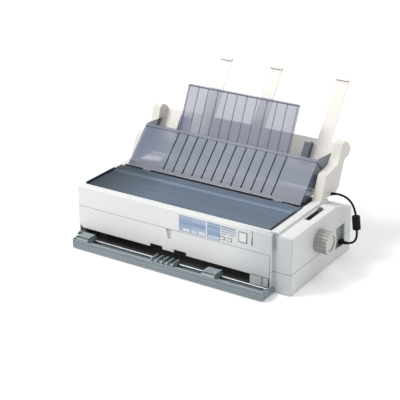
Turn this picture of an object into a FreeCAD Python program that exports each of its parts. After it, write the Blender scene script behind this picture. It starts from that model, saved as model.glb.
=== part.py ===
import FreeCAD, Part
import math
import os
import Sketcher

# Wide dot matrix printer with a cut sheet feeder on top and a push tractor in front.
# Millimetres. X to the right, Y to the back, Z up, floor at z = 0. The pieces are drawn
# with y = 0 at the front face and x = 0 at the middle of the case, and every placement
# then moves them so that the origin is under the middle of the whole part.

SIZES = {
    # case
    "case_width": 600, "case_depth": 320, "case_wall": 3, "foot_gap": 3, "seam_height": 54,
    "cover_top": 95.3, "band_height": 148.5, "rear_height": 114, "deck_flat": 229,
    "block_width": 46, "block_setback": 8, "block_height": 144.4, "corner_round": 6,
    "edge_round": 2.5, "overrun": 2, "fit_gap": 0.3, "running_gap": 0.05,
    # openings of the case
    "left_rim": 10, "hood_right_margin": 58, "front_rim": 20, "hinge_line": 172, "hinge_room": 7.5,
    "hood_ledge": 5,
    "rim_width": 20, "rim_top": 150.5, "rim_run": 260, "rim_notch": 12, "rim_notch_deep": 5,
    "deck_opening_start": 184, "deck_opening_end": 306, "deck_strip": 30,
    "front_gap_right": 103, "cover_right_margin": 51, "panel_top": 34, "jamb_depth": 10,
    "vent_count": 9, "vent_pitch": 12, "vent_width": 5,
    "vent_low": 66, "vent_high": 96, "vent_start": 30,
    # feet
    "foot_radius": 9, "foot_inset": 34, "foot_recess": 1.5,
    # front cover
    "cover_low": 36.4, "cover_thick": 2.5, "cover_axis_back": 6.4, "cover_axis_up": 42,
    "lug_thick": 3, "lug_radius": 4, "pin_radius": 1.5, "pin_length": 1.6, "notch_height": 8,
    "notch_width": 36, "notch_step": 69, "scoop_width": 17, "scoop_height": 27, "scoop_deep": 7,
    "scoop_taper": 6, "scoop_shift": 5, "scoop_wall": 1.2, "corner_cut": 9,
    # hood
    "hood_thick": 2.5, "hood_top": 150, "hood_skirt": 3, "hinge_radius": 3, "hinge_bore": 1.6,
    "hinge_length": 24, "hinge_inset": 30, "lip_width": 4,
    "lip_height": 3.5, "lip_end": 34, "grip_width": 80, "grip_height": 1.6, "grip_depth": 5,
    # sheet guide
    "guide_left": 273.4, "guide_right": 230, "guide_angle": 45, "guide_slant": 131, "guide_thick": 2.5,
    "guide_wall": 3, "guide_side_back": 54, "guide_side_low": 76, "guide_side_deep": 61,
    "guide_side_reach": 46, "guide_rib_middle": 10,
    "rib_count": 12, "rib_pitch": 28.6, "rib_width": 1.6, "rib_height": 3, "rib_margin": 9,
    # stacker
    "stacker_angle": 24.8, "stacker_slant": 199, "stacker_foot_back": 237.5, "stacker_foot_up": 168,
    "stacker_side": 5, "stacker_thick": 2.2, "stacker_corner": 5, "stacker_bar_radius": 3,
    "stacker_middle": 16, "stacker_rib": 2,
    # sheet feeder
    "frame_thick": 24, "frame_right_margin": 38, "frame_left_inset": 2, "frame_front": 222,
    "frame_length": 155, "frame_height": 120,
    "hopper_angle": 34.4, "hopper_back": 280, "hopper_up": 133, "hopper_start": 22,
    "hopper_end": 146, "hopper_thick": 3,
    "pick_along": 52, "pick_radius": 12, "pick_shaft_radius": 4, "roller_width": 22,
    "roller_count": 3, "roller_pitch": 120,
    "beam_back": 299, "beam_depth": 14, "beam_low": 146, "beam_height": 8, "tie_radius": 5,
    "tie_along": 128, "tie_behind": 17,
    "support_width": 36, "support_thick": 3, "support_start": 118, "support_end": 312,
    "support_tip": 16, "support_tip_rise": 5, "support_left": 147, "support_middle": 4,
    "support_right": 193, "guide_rib": 2.5, "edge_guide_height": 16, "edge_guide_start": 74,
    "edge_guide_end": 132, "edge_guide_thick": 3, "edge_guide_left": 214, "edge_guide_right": 168,
    "edge_guide_base": 22,
    # mechanism
    "chassis_thick": 2, "chassis_left": 281, "chassis_right": 232, "chassis_height": 126,
    "chassis_front": 16, "chassis_tail": 38, "chassis_nose": 5,
    "platen_back": 142, "platen_up": 91, "platen_radius": 18, "platen_length": 430,
    "platen_shaft_radius": 6, "knob_radius": 28, "knob_reach": 34, "knob_gap": 2, "knob_hub": 11,
    "flute_count": 20, "flute_radius": 1.8, "knob_dish": 4,
    "rod_back": 76, "rod_up": 62, "rod_radius": 5, "rail_back": 34, "rail_up": 78,
    "rail_depth": 12, "rail_thick": 2,
    "carriage_width": 66, "head_width": 40, "head_nose": 14,
    "head_height": 30, "head_gap": 1.8, "head_fin_count": 5, "head_fin": 2,
    "ribbon_back": 28, "ribbon_depth": 46, "ribbon_up": 97, "ribbon_height": 16,
    "ribbon_arm": 9, "ribbon_thick": 0.5, "ribbon_band": 13, "ribbon_band_up": 84,
    "ribbon_knob_radius": 8, "ribbon_knob_height": 4,
    "pulley_radius": 8, "pulley_back": 56, "belt_up": 56, "belt_height": 6, "belt_thick": 1.2,
    "pulley_inset": 16, "pulley_shaft_radius": 2,
    "motor_radius": 19, "motor_length": 26, "motor_height": 30, "motor_shaft_radius": 2.5,
    "pan_thick": 1.2, "pan_front": 16, "pan_up": 34, "pan_dip": 42, "pan_level": 47.5,
    "pan_tab": 20, "chute_gap": 8, "chute_low": 100, "chute_back": 286, "chute_high": 140,
    # feed gears
    "gear_module": 1.5, "gear_width": 7, "gear_offset": 4, "gear_backlash": 0.12,
    "stud_radius": 3, "platen_teeth": 34, "upper_teeth": 37,
    "lower_teeth": 37, "front_teeth": 16, "tractor_teeth": 18, "pinion_teeth": 14,
    "front_gear_back": 11.4, "front_gear_up": 20, "pinion_angle": 24,
    # push tractor
    "tractor_reach": 50, "tractor_shaft_up": 15.5, "tractor_shaft_radius": 3.5,
    "tractor_right_margin": 41, "end_plate": 3, "end_plate_top": 27, "tray_low": 3,
    "plate_shoulder": 22, "shoulder_back": 9, "plate_heel": 13,
    "tray_thick": 2, "front_bar_top": 24, "rear_bar_top": 9, "rear_bar_back": 1.2, "bead": 3,
    "bead_reach": 1.2, "guide_rod_radius": 3, "guide_rod_back": 32, "guide_rod_up": 15,
    "tractor_width": 36, "tractor_front": 45, "tractor_rear": 5, "tractor_top": 27,
    "tractor_bottom": 8, "tractor_round": 8, "flap_thick": 2.4, "flap_lift": 2.2,
    "flap_hinge": 1.6, "sprocket_count": 3, "sprocket_radius": 1.5, "sprocket_height": 1.6,
    "sprocket_pitch": 12.7, "left_tractor": 261, "right_tractor": 108, "rest_width": 64,
    "rest_rib": 3, "latch_left": 72, "latch_width": 20, "latch_low": 13, "latch_slot": 3,
    "latch_proud": 0.8,
    # panel
    "panel_left": 1, "panel_right": 160, "panel_low": 98, "panel_high": 140, "panel_deep": 1.2,
    "button_width": 11, "button_height": 6, "button_up": 105, "button_reach": 1.6,
    "button_length": 7, "first_button": 121, "button_pitch": 20,
    "online_width": 19, "online_height": 21, "online_middle": 177, "online_up": 112,
    "lamp_count": 6, "lamp_width": 3, "lamp_height": 1.6, "lamp_pitch": 7, "lamp_start": 114,
    "lamp_up": 131, "slit_middle": 201.5, "slit_width": 3, "slit_low": 108, "slit_high": 145,
    # lever
    "slot_left": 32, "slot_width": 14, "slot_start": 125, "slot_end": 205, "lever_width": 9,
    "lever_thick": 5, "lever_reach": 6, "lever_pivot_back": 166, "lever_pivot_up": 84,
    "lever_tip_back": 196, "lever_pin_radius": 3,
    # electronics
    "board_left": 150, "board_right": 40, "board_room": 16, "board_deep": 108, "board_up": 14,
    "board_thick": 1.6, "boss_radius": 4, "chip_height": 4, "power_left": 70, "power_right": 232,
    "power_room": 20, "power_deep": 104, "power_height": 44,
    "inlet_middle": 200, "inlet_width": 28, "inlet_height": 20, "inlet_up": 14,
    "inlet_depth": 22, "data_middle": 40, "data_width": 60, "data_height": 14, "data_up": 24,
    "data_depth": 14, "switch_width": 14, "switch_height": 20, "switch_depth": 12,
    "switch_middle": 165, "rocker_rise": 2.5,
    # side socket and cable
    "recess_room": 37, "recess_run": 48, "recess_low": 28, "recess_high": 85,
    "recess_deep": 9, "socket_room": 52, "socket_up": 38, "socket_width": 18,
    "socket_height": 12, "cable_width": 5.5, "gland_radius": 5, "gland_length": 6,
    "gland_back": 265, "gland_up": 158.5, "core_radius": 10, "core_length": 35, "plug_tail": 8,
    "plug_round": 2, "socket_depth": 3,
}


class Length:
    """A size and the expression that works it out from the sheet."""

    def __init__(self, value, text):
        self.value = float(value)
        self.text = text

    def __add__(self, other):
        other = as_length(other)
        return Length(self.value + other.value, f"({self.text} + {other.text})")

    def __radd__(self, other):
        return as_length(other) + self

    def __sub__(self, other):
        other = as_length(other)
        return Length(self.value - other.value, f"({self.text} - {other.text})")

    def __rsub__(self, other):
        return as_length(other) - self

    def __mul__(self, other):
        other = as_length(other)
        return Length(self.value * other.value, f"({self.text} * {other.text})")

    def __rmul__(self, other):
        return self * other

    def __truediv__(self, other):
        other = as_length(other)
        return Length(self.value / other.value, f"({self.text} / {other.text})")

    def __neg__(self):
        return Length(-self.value, f"(-{self.text})")

    def __float__(self):
        return self.value


def as_length(value):
    return value if isinstance(value, Length) else Length(value, repr(float(value)))


def sine(angle):
    return Length(math.sin(math.radians(angle.value)), f"sin({angle.text} * 1 deg)")


def cosine(angle):
    return Length(math.cos(math.radians(angle.value)), f"cos({angle.text} * 1 deg)")


class Dims:
    """The driving sizes, each a cell of the sheet under its own alias."""

    def __init__(self, document, sizes):
        sheet = document.addObject("Spreadsheet::Sheet", "dims")
        for row, (name, value) in enumerate(sizes.items(), 1):
            sheet.set(f"A{row}", name)
            sheet.set(f"B{row}", str(value))
            sheet.setAlias(f"B{row}", name)
            setattr(self, name, Length(value, f"dims.{name}"))


doc = FreeCAD.newDocument("printer")
d = Dims(doc, SIZES)
doc.recompute()

PLANES = {"XY": ("XY_Plane", 1), "YZ": ("YZ_Plane", 1), "XZ": ("XZ_Plane", -1)}
PIECES = []
CUTS = []

# Places that several pieces share.
left = -d.case_width / 2
right = d.case_width / 2
block_left = right - d.block_width
hood_left = left + d.left_rim
hood_right = right - d.hood_right_margin
middle = (hood_left + hood_right) / 2
cover_left = left + d.case_wall
cover_right = right - d.cover_right_margin
frame_right = right - d.frame_right_margin
frame_inner_right = frame_right - d.frame_thick
frame_left = left + d.frame_left_inset
frame_inner_left = frame_left + d.frame_thick
floor_top = d.foot_gap + d.case_wall
board_end = d.case_depth - d.board_room
board_start = board_end - d.board_deep
power_end = d.case_depth - d.power_room
power_start = power_end - d.power_deep
recess_end = d.case_depth - d.recess_room
recess_start = recess_end - d.recess_run
socket_middle = d.case_depth - d.socket_room
chute_front = d.platen_back + d.platen_radius + d.chute_gap
chassis_end = chute_front + d.chassis_tail
platen_left = middle - d.platen_length / 2
platen_right = middle + d.platen_length / 2
gear_outer = -d.chassis_left - d.gear_offset
gear_inner = gear_outer - d.gear_width
tractor_left_end = -d.chassis_left - d.end_plate
tractor_right_end = right - d.tractor_right_margin
tip_back = (d.hopper_back + d.support_end * sine(d.hopper_angle)
            + (d.hopper_thick + d.support_thick + d.fit_gap) * cosine(d.hopper_angle))
shift_across = -d.knob_reach / 2
shift_back = (d.tractor_reach - tip_back) / 2


def placed(piece, y=0, z=0, lean=None):
    """Puts a piece in the part's own frame, leaned back from upright where a lean is given."""
    x_text = shift_across.text
    y_text = (shift_back + y).text
    z_text = as_length(z).text
    angle = "0" if lean is None else f"90 - {lean.text}"
    place = f"create(<<vector>>; {x_text}; {y_text}; {z_text})"
    turn = f"create(<<rotation>>; create(<<vector>>; 1; 0; 0); ({angle}) * 1 deg)"
    piece.setExpression("Placement", f"create(<<placement>>; {place}; {turn})")
    PIECES.append(piece)
    return piece


def new_body(label, y=0, z=0, lean=None):
    body = doc.addObject("PartDesign::Body", label)
    body.Label = label
    return placed(body, y, z, lean)


def polygon(*points):
    return ("polygon", [(as_length(x), as_length(y)) for x, y in points])


def rectangle(x_low, y_low, x_high, y_high):
    return polygon((x_low, y_low), (x_high, y_low), (x_high, y_high), (x_low, y_high))


def circle(x, y, radius):
    return ("circle", as_length(x), as_length(y), as_length(radius))


def fix(sketch, geometry, point, x, y):
    """Ties a point of the sketch to its two sizes."""
    for kind, size in (("DistanceX", x), ("DistanceY", y)):
        index = sketch.addConstraint(Sketcher.Constraint(kind, -1, 1, geometry, point, size.value))
        sketch.setExpression(f"Constraints[{index}]", size.text)


def draw(body, plane, loops, level):
    role, sense = PLANES[plane]
    sketch = body.newObject("Sketcher::SketchObject", body.Label + "_outline")
    support = next(feature for feature in body.Origin.OriginFeatures if feature.Role == role)
    sketch.AttachmentSupport = [(support, "")]
    sketch.MapMode = "FlatFace"
    sketch.setExpression("AttachmentOffset.Base.z", (as_length(level) * sense).text)
    for loop in loops:
        start = sketch.GeometryCount
        if loop[0] == "circle":
            _, x, y, radius = loop
            centre = FreeCAD.Vector(x.value, y.value, 0)
            sketch.addGeometry(Part.Circle(centre, FreeCAD.Vector(0, 0, 1), radius.value), False)
            index = sketch.addConstraint(Sketcher.Constraint("Radius", start, radius.value))
            sketch.setExpression(f"Constraints[{index}]", radius.text)
            fix(sketch, start, 3, x, y)
            continue
        points = loop[1]
        corners = [FreeCAD.Vector(x.value, y.value, 0) for x, y in points]
        count = len(points)
        sides = [Part.LineSegment(corners[n], corners[(n + 1) % count]) for n in range(count)]
        sketch.addGeometry(sides, False)
        sketch.addConstraint([Sketcher.Constraint("Coincident", start + n, 2, start + (n + 1) % count, 1)
                              for n in range(count)])
        for n, (x, y) in enumerate(points):
            fix(sketch, start + n, 1, x, y)
    sketch.Visibility = False
    return sketch


def add(body, plane, loops, low, high):
    """Adds the outlines, drawn out along the plane's own axis from low to high."""
    sense = PLANES[plane][1]
    pad = body.newObject("PartDesign::Pad", body.Label + "_pad")
    sketch = draw(body, plane, loops, low if sense > 0 else high)
    pad.Profile = sketch
    pad.setExpression("Length", (high - low).text)
    body.Tip = pad
    return pad


def cut(body, plane, loops, low, high):
    """Cuts the outlines out, from low to high along the plane's own axis."""
    sense = PLANES[plane][1]
    before = body.Tip
    pocket = body.newObject("PartDesign::Pocket", body.Label + "_pocket")
    sketch = draw(body, plane, loops, high if sense > 0 else low)
    pocket.Profile = sketch
    pocket.setExpression("Length", (high - low).text)
    body.Tip = pocket
    CUTS.append((before, pocket))
    return pocket


def soften(body, radius, chosen):
    """Rounds the edges that the test chooses by their boxes."""
    doc.recompute()
    base = body.Tip
    names = [f"Edge{n}" for n, edge in enumerate(base.Shape.Edges, 1) if chosen(edge.BoundBox)]
    if not names:
        raise RuntimeError(f"no edge to round on {body.Label}")
    fillet = body.newObject("PartDesign::Fillet", body.Label + "_round")
    fillet.Base = (base, names)
    fillet.setExpression("Radius", radius.text)
    body.Tip = fillet


def near(value, length):
    return abs(value - float(length)) < float(d.running_gap)


def case_outline(inset):
    """The case seen from above, drawn in by a wall."""
    return polygon((left + inset, inset), (block_left - inset, inset),
                   (block_left - inset, d.block_setback + inset), (right - inset, d.block_setback + inset),
                   (right - inset, d.case_depth - inset), (left + inset, d.case_depth - inset))


def slope_at(back, top):
    """Height of the sloping rear deck at a distance from the front."""
    return top - (back - d.deck_flat) * (top - d.rear_height) / (d.case_depth - d.deck_flat)


def lower_case():
    body = new_body("lower_case")
    add(body, "XY", [case_outline(as_length(0))], d.foot_gap, d.seam_height)
    cut(body, "XY", [case_outline(d.case_wall)], floor_top, d.seam_height)
    panel_left = right - d.front_gap_right
    cut(body, "XZ", [rectangle(cover_left, floor_top, panel_left, d.seam_height)], as_length(0), d.case_wall)
    cut(body, "XZ", [rectangle(panel_left, d.panel_top, cover_right, d.seam_height)],
        as_length(0), d.case_wall)
    # jamb that takes the right pin of the front cover
    add(body, "XY", [rectangle(cover_right, d.case_wall, block_left - d.case_wall, d.jamb_depth)],
        d.panel_top, d.seam_height)
    # blind seats of the two cover pins
    seat = circle(d.cover_axis_back, d.cover_axis_up, d.pin_radius + d.fit_gap)
    cut(body, "YZ", [seat], cover_left - d.pin_length - d.fit_gap, cover_left)
    cut(body, "YZ", [seat], cover_right, cover_right + d.pin_length + d.fit_gap)
    # catch beside the opening: a raised tab between two slots
    latch_start = right - d.latch_left
    latch_end = latch_start + d.latch_width
    cut(body, "XZ", [rectangle(x, d.latch_low, x + d.latch_slot, d.panel_top)
                     for x in (latch_start, latch_end - d.latch_slot)], as_length(0), d.case_wall)
    add(body, "XZ", [rectangle(latch_start + d.latch_slot, d.latch_low, latch_end - d.latch_slot,
                               d.panel_top)], -d.latch_proud, d.case_wall / 2)
    # side recess for the feeder plug
    cut(body, "YZ", [rectangle(recess_start, d.recess_low, recess_end, d.seam_height)],
        right - d.case_wall, right)
    # rear sockets
    inlet = rectangle(-d.inlet_middle - d.inlet_width / 2, d.inlet_up,
                      -d.inlet_middle + d.inlet_width / 2, d.inlet_up + d.inlet_height)
    data = rectangle(-d.data_middle - d.data_width / 2, d.data_up,
                     -d.data_middle + d.data_width / 2, d.data_up + d.data_height)
    switch = rectangle(-d.switch_middle - d.switch_width / 2, d.inlet_up,
                       -d.switch_middle + d.switch_width / 2, d.inlet_up + d.switch_height)
    cut(body, "XZ", [inlet, data, switch], d.case_depth - d.case_wall, d.case_depth)
    # bosses under the main board
    bosses = [circle(x, y, d.boss_radius)
              for x in (-d.board_left + 2 * d.boss_radius, d.board_right - 2 * d.boss_radius)
              for y in (board_start + 2 * d.boss_radius, board_end - 2 * d.boss_radius)]
    add(body, "XY", bosses, floor_top, d.board_up)
    # post of the idler pulley
    idler_x = pulley_places()[1]
    post_top = d.belt_up - d.fit_gap
    add(body, "XY", [circle(idler_x, d.pulley_back, 2 * d.pulley_shaft_radius)], floor_top, post_top)
    add(body, "XY", [circle(idler_x, d.pulley_back, d.pulley_shaft_radius)], post_top,
        d.belt_up + d.belt_height)
    # shallow seats of the feet
    feet = [circle(x, y, d.foot_radius + d.fit_gap) for x, y in foot_places()]
    cut(body, "XY", feet, d.foot_gap, d.foot_gap + d.foot_recess)
    soften(body, d.corner_round, lambda box: box.ZLength > float(d.seam_height) / 2
           and abs(box.XMin) + float(d.fit_gap) > float(right) and near(box.XMin, box.XMax)
           and near(box.YMin, box.YMax) and near(box.YMax, d.case_depth))


def foot_places():
    return [(x, y) for x in (left + d.foot_inset, right - d.foot_inset)
            for y in (d.foot_inset, d.case_depth - d.foot_inset)]


def rubber_feet():
    body = new_body("rubber_feet")
    feet = [circle(x, y, d.foot_radius) for x, y in foot_places()]
    add(body, "XY", feet, as_length(0), d.foot_gap + d.foot_recess)


def upper_case():
    body = new_body("upper_case")
    wall = d.case_wall
    add(body, "YZ", [polygon((0, d.seam_height), (0, d.band_height), (d.deck_flat, d.band_height),
                             (d.case_depth, d.rear_height), (d.case_depth, d.seam_height))], left, block_left)
    add(body, "YZ", [polygon((d.block_setback, d.seam_height), (d.block_setback, d.block_height),
                             (d.deck_flat, d.block_height), (d.case_depth, d.rear_height),
                             (d.case_depth, d.seam_height))], block_left, right)
    # raised rim beside the hood, cut down to a notch at its rear end
    rim_base = d.rear_height - wall / 2
    add(body, "YZ", [polygon((d.block_setback, rim_base), (d.block_setback, d.rim_top),
                             (d.rim_run - d.rim_notch, d.rim_top),
                             (d.rim_run - d.rim_notch, d.rim_top - d.rim_notch_deep),
                             (d.rim_run, d.rim_top - d.rim_notch_deep),
                             (d.rim_run, rim_base))], hood_right, hood_right + d.rim_width)
    # hollow inside
    rear = d.case_depth - wall
    low_rear = d.rear_height - wall
    cut(body, "YZ", [polygon((wall, d.seam_height), (wall, d.band_height - wall),
                             (d.deck_flat, d.band_height - wall), (rear, low_rear),
                             (rear, d.seam_height))], left + wall, block_left - wall)
    block_front = d.block_setback + wall
    cut(body, "YZ", [polygon((block_front, d.seam_height), (block_front, d.block_height - wall),
                             (d.deck_flat, d.block_height - wall), (rear, low_rear),
                             (rear, d.seam_height))], block_left - wall, right - wall)
    # opening for the front cover
    cut(body, "XZ", [rectangle(cover_left, d.seam_height, cover_right, d.cover_top)], as_length(0), wall)
    # rebate for the hood, and the opening below it
    rebate_floor = d.hood_top - d.hood_thick - d.fit_gap
    cut(body, "XY", [rectangle(hood_left, d.front_rim, hood_right, d.hinge_line + d.hinge_room)],
        rebate_floor, d.rim_top + d.overrun)
    cut(body, "XY", [rectangle(hood_left + d.hood_ledge, d.front_rim + d.hood_ledge,
                               hood_right - d.hood_ledge, d.hinge_line + d.hinge_room)],
        d.band_height - wall - d.overrun, d.rim_top + d.overrun)
    # opening of the rear deck under the sheet feeder
    cut(body, "XY", [rectangle(left + d.deck_strip, d.deck_opening_start, frame_inner_right - d.fit_gap,
                               d.deck_opening_end)], d.rear_height - wall, d.rim_top + d.overrun)
    # slot of the release lever
    slot_left = right - d.slot_left
    cut(body, "XY", [rectangle(slot_left, d.slot_start, slot_left + d.slot_width, d.slot_end)],
        d.block_height - wall, d.block_height)
    # recess of the panel, its keys and the slit beside it
    cut(body, "XZ", [rectangle(d.panel_left, d.panel_low, d.panel_right, d.panel_high)],
        as_length(0), d.panel_deep)
    keys = [key_outline(*key, d.fit_gap) for key in key_places()]
    cut(body, "XZ", keys, as_length(0), wall)
    cut(body, "XZ", [polygon((d.slit_middle - d.slit_width / 2, d.slit_low),
                             (d.slit_middle + d.slit_width / 2, d.slit_low),
                             (d.slit_middle + d.slit_width / 4, d.slit_high),
                             (d.slit_middle - d.slit_width / 4, d.slit_high))], as_length(0), wall)
    # side recess, knob hole and the blind right vents
    cut(body, "YZ", [rectangle(recess_start, d.seam_height, recess_end, d.recess_high),
                     circle(d.platen_back, d.platen_up, d.knob_hub + d.fit_gap)], right - wall, right)
    vents = [rectangle(left + d.vent_start + n * d.vent_pitch, d.vent_low,
                       left + d.vent_start + n * d.vent_pitch + d.vent_width, d.vent_high)
             for n in range(SIZES["vent_count"])]
    cut(body, "XZ", vents, d.case_depth - wall, d.case_depth)
    soften(body, d.corner_round, lambda box: box.ZLength > float(d.seam_height)
           and box.XLength < float(d.fit_gap) and box.YLength < float(d.fit_gap)
           and abs(box.XMin) + float(d.fit_gap) > float(right) and near(box.YMax, d.case_depth))
    soften(body, d.edge_round, lambda box: (near(box.ZMin, d.band_height) and near(box.YMin, 0)
           and box.XLength > float(d.block_width)) or (near(box.ZMin, d.block_height)
           and near(box.YMin, d.block_setback) and near(box.XMax, right)))


def key_places():
    """Middle, width, height and lower edge of each key."""
    small = [(d.first_button + n * d.button_pitch, d.button_width, d.button_height, d.button_up)
             for n in range(2)]
    return small + [(d.online_middle, d.online_width, d.online_height, d.online_up)]


def key_outline(across, width, height, up, gap):
    return rectangle(across - width / 2 - gap, up - gap, across + width / 2 + gap, up + height + gap)


def panel_face():
    body = new_body("panel_face")
    gap = d.fit_gap
    add(body, "XZ", [rectangle(d.panel_left + gap, d.panel_low + gap, d.panel_right - gap,
                               d.panel_high - gap)], gap / 2, d.panel_deep)
    cut(body, "XZ", [key_outline(*key, gap) for key in key_places()[:2]], as_length(0), d.panel_deep)
    # row of lamp windows, raised from the label
    lamps = []
    for number in range(SIZES["lamp_count"]):
        start = d.lamp_start + number * d.lamp_pitch
        lamps.append(rectangle(start, d.lamp_up, start + d.lamp_width, d.lamp_up + d.lamp_height))
    add(body, "XZ", lamps, as_length(0), d.panel_deep / 2)


def panel_keys():
    names = ("panel_button_left", "panel_button_right", "online_button")
    for name, (across, width, height, up) in zip(names, key_places()):
        body = new_body(name)
        add(body, "XZ", [key_outline(across, width, height, up, as_length(0))],
            -d.button_reach, d.button_length)
        soften(body, d.button_reach / 2, lambda box: near(box.YMax, -d.button_reach))


def front_cover():
    body = new_body("front_cover")
    gap = d.fit_gap
    low_x = cover_left + gap
    high_x = cover_right - gap
    add(body, "XZ", [polygon((low_x, d.cover_low + d.corner_cut), (low_x + d.corner_cut, d.cover_low),
                             (high_x, d.cover_low), (high_x, d.cover_top - gap),
                             (low_x, d.cover_top - gap))], as_length(0), d.cover_thick)
    # two notches in the bottom edge
    notches = [rectangle(x, d.cover_low, x + d.notch_width, d.cover_low + d.notch_height)
               for x in (middle - d.notch_step + d.notch_width / 4, middle + d.notch_width / 4)]
    cut(body, "XZ", notches, as_length(0), d.cover_thick)
    # thumb scoop, a tapered pocket open at the upper edge, with its own walls behind the plate
    scoop_left = middle - d.scoop_shift - d.scoop_width / 2
    scoop_right = scoop_left + d.scoop_width
    scoop_low = d.cover_top - d.scoop_height
    add(body, "XZ", [rectangle(scoop_left - d.scoop_wall, scoop_low - d.scoop_wall,
                               scoop_right + d.scoop_wall, d.cover_top - gap)],
        d.cover_thick / 2, d.scoop_deep + d.scoop_wall)
    cut(body, "XZ", [polygon((scoop_left + d.scoop_taper, scoop_low), (scoop_right, scoop_low),
                             (scoop_right, d.cover_top), (scoop_left, d.cover_top))],
        as_length(0), d.scoop_deep)
    # lugs with the pins that the cover turns on
    axis = (d.cover_axis_back, d.cover_axis_up)
    lug = polygon((d.cover_thick, axis[1] - d.lug_radius), (axis[0], axis[1] - d.lug_radius),
                  (axis[0] + d.lug_radius, axis[1]), (axis[0], axis[1] + d.lug_radius),
                  (d.cover_thick, axis[1] + 2 * d.lug_radius))
    add(body, "YZ", [lug], low_x, low_x + d.lug_thick)
    add(body, "YZ", [lug], high_x - d.lug_thick, high_x)
    add(body, "YZ", [circle(*axis, d.pin_radius)], cover_left - d.pin_length, low_x + d.lug_thick / 2)
    add(body, "YZ", [circle(*axis, d.pin_radius)], high_x - d.lug_thick / 2, cover_right + d.pin_length)


def hood():
    body = new_body("hood")
    gap = d.fit_gap
    low_x = hood_left + 2 * gap
    high_x = hood_right - 2 * gap
    front = d.front_rim + 2 * gap
    bottom = d.hood_top - d.hood_thick
    rear = d.hinge_line - d.hinge_radius - gap
    add(body, "XY", [rectangle(low_x, front, high_x, rear)], bottom, d.hood_top)
    # skirt inside the opening, and the raised grip at the front edge
    skirt_x = hood_left + d.hood_ledge + 2 * gap
    skirt_far = hood_right - d.hood_ledge - 2 * gap
    skirt_y = d.front_rim + d.hood_ledge + 2 * gap
    add(body, "XY", [rectangle(skirt_x, skirt_y, skirt_far, skirt_y + d.hood_thick)],
        bottom - d.hood_skirt, bottom)
    add(body, "XY", [rectangle(middle - d.grip_width / 2, front, middle + d.grip_width / 2,
                               front + d.grip_depth)], d.hood_top, d.hood_top + d.grip_height)
    # raised lips along both sides
    lip_rear = d.hinge_line - d.lip_end
    add(body, "XY", [rectangle(low_x, front, low_x + d.lip_width, lip_rear),
                     rectangle(high_x - d.lip_width, front, high_x, lip_rear)], d.hood_top,
        d.hood_top + d.lip_height)
    # hinge barrels at the rear edge
    axis_up = d.hood_top - d.hinge_radius
    for start in (hood_left + d.hinge_inset, hood_right - d.hinge_inset - d.hinge_length):
        barrel = polygon((d.hinge_line - d.hinge_radius - gap, bottom), (d.hinge_line, axis_up),
                         (d.hinge_line, d.hood_top), (d.hinge_line - d.hinge_radius - gap, d.hood_top))
        add(body, "YZ", [barrel], start, start + d.hinge_length)
        add(body, "YZ", [circle(d.hinge_line, axis_up, d.hinge_radius)], start, start + d.hinge_length)
        cut(body, "YZ", [circle(d.hinge_line, axis_up, d.hinge_bore + d.running_gap)],
            start, start + d.hinge_length)


def hinge_pin():
    """Steel rod behind the hood, carried by the chassis plates, that hood and guide turn on."""
    body = new_body("hinge_pin")
    add(body, "YZ", [circle(d.hinge_line, d.hood_top - d.hinge_radius, d.hinge_bore)],
        -d.chassis_left - d.chassis_thick, d.chassis_right + d.chassis_thick)


def rib_places(centre):
    count = SIZES["rib_count"]
    return [centre + (n - (count - 1) / 2) * d.rib_pitch for n in range(count)]


def sheet_guide():
    """The smoked guide that leans back behind the hood, drawn flat with its hinge at the origin."""
    body = new_body("sheet_guide", d.hinge_line, d.hood_top - d.hinge_radius, d.guide_angle)
    low_x = -d.guide_left
    high_x = as_length(d.guide_right)
    start = d.hinge_radius * 2
    thick = d.guide_thick
    add(body, "XY", [rectangle(low_x, start, high_x, d.guide_slant)], -thick, as_length(0))
    half = d.rib_width / 2
    ribs = [rectangle(x - half, start + d.rib_margin, x + half, d.guide_slant - d.rib_margin)
            for x in rib_places(-d.guide_rib_middle)]
    add(body, "XY", ribs, as_length(0), d.rib_height)
    # walls at both ends, which reach back past the stacker
    wall = polygon((start, 0), (d.guide_slant, 0), (d.guide_slant + d.guide_side_reach, -d.guide_side_back),
                   (d.guide_side_low, -d.guide_side_deep), (start, -thick))
    add(body, "YZ", [wall], low_x, low_x + d.guide_wall)
    add(body, "YZ", [wall], high_x - d.guide_wall, high_x)
    # knuckles round the hinge pin, inboard of the hood's
    for begin in (low_x + 2 * d.hinge_length, high_x - 3 * d.hinge_length):
        add(body, "YZ", [polygon((0, -d.hinge_radius), (start, -thick), (start, 0), (0, 0))],
            begin, begin + d.hinge_length)
        add(body, "YZ", [circle(0, 0, d.hinge_radius)], begin, begin + d.hinge_length)
        cut(body, "YZ", [circle(0, 0, d.hinge_bore + d.running_gap)], begin, begin + d.hinge_length)


def stacker():
    """The ribbed tray that the printed sheets stand against, carried by a bar between the guide's walls."""
    body = new_body("stacker", d.stacker_foot_back, d.stacker_foot_up, d.stacker_angle)
    ribs_at = rib_places(-d.stacker_middle)
    low_x = ribs_at[0] - d.stacker_side
    high_x = ribs_at[-1] + d.stacker_side
    add(body, "XY", [rectangle(low_x, 0, high_x, d.stacker_slant)], -d.stacker_thick, as_length(0))
    soften(body, d.stacker_corner, lambda box: near(box.YMin, d.stacker_slant) and near(box.XMin, box.XMax))
    half = d.rib_width / 2
    ribs = [rectangle(x - half, d.rib_margin, x + half, d.stacker_slant - d.stacker_corner)
            for x in ribs_at]
    add(body, "XY", ribs, as_length(0), d.stacker_rib)
    add(body, "YZ", [circle(0, -d.stacker_thick / 2, d.stacker_bar_radius)],
        -d.guide_left + d.guide_wall, d.guide_right - d.guide_wall)


FRAME_SHARES = ((0, 0), (0.18, 0.49), (0.555, 0.57), (0.62, 0.69), (0.7, 0.95), (0.774, 1), (0.89, 0.93),
                (0.987, 0.8), (1, 0.72), (0.923, 0.62), (0.787, 0.575), (0.62, 0.058), (0.555, 0))


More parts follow.
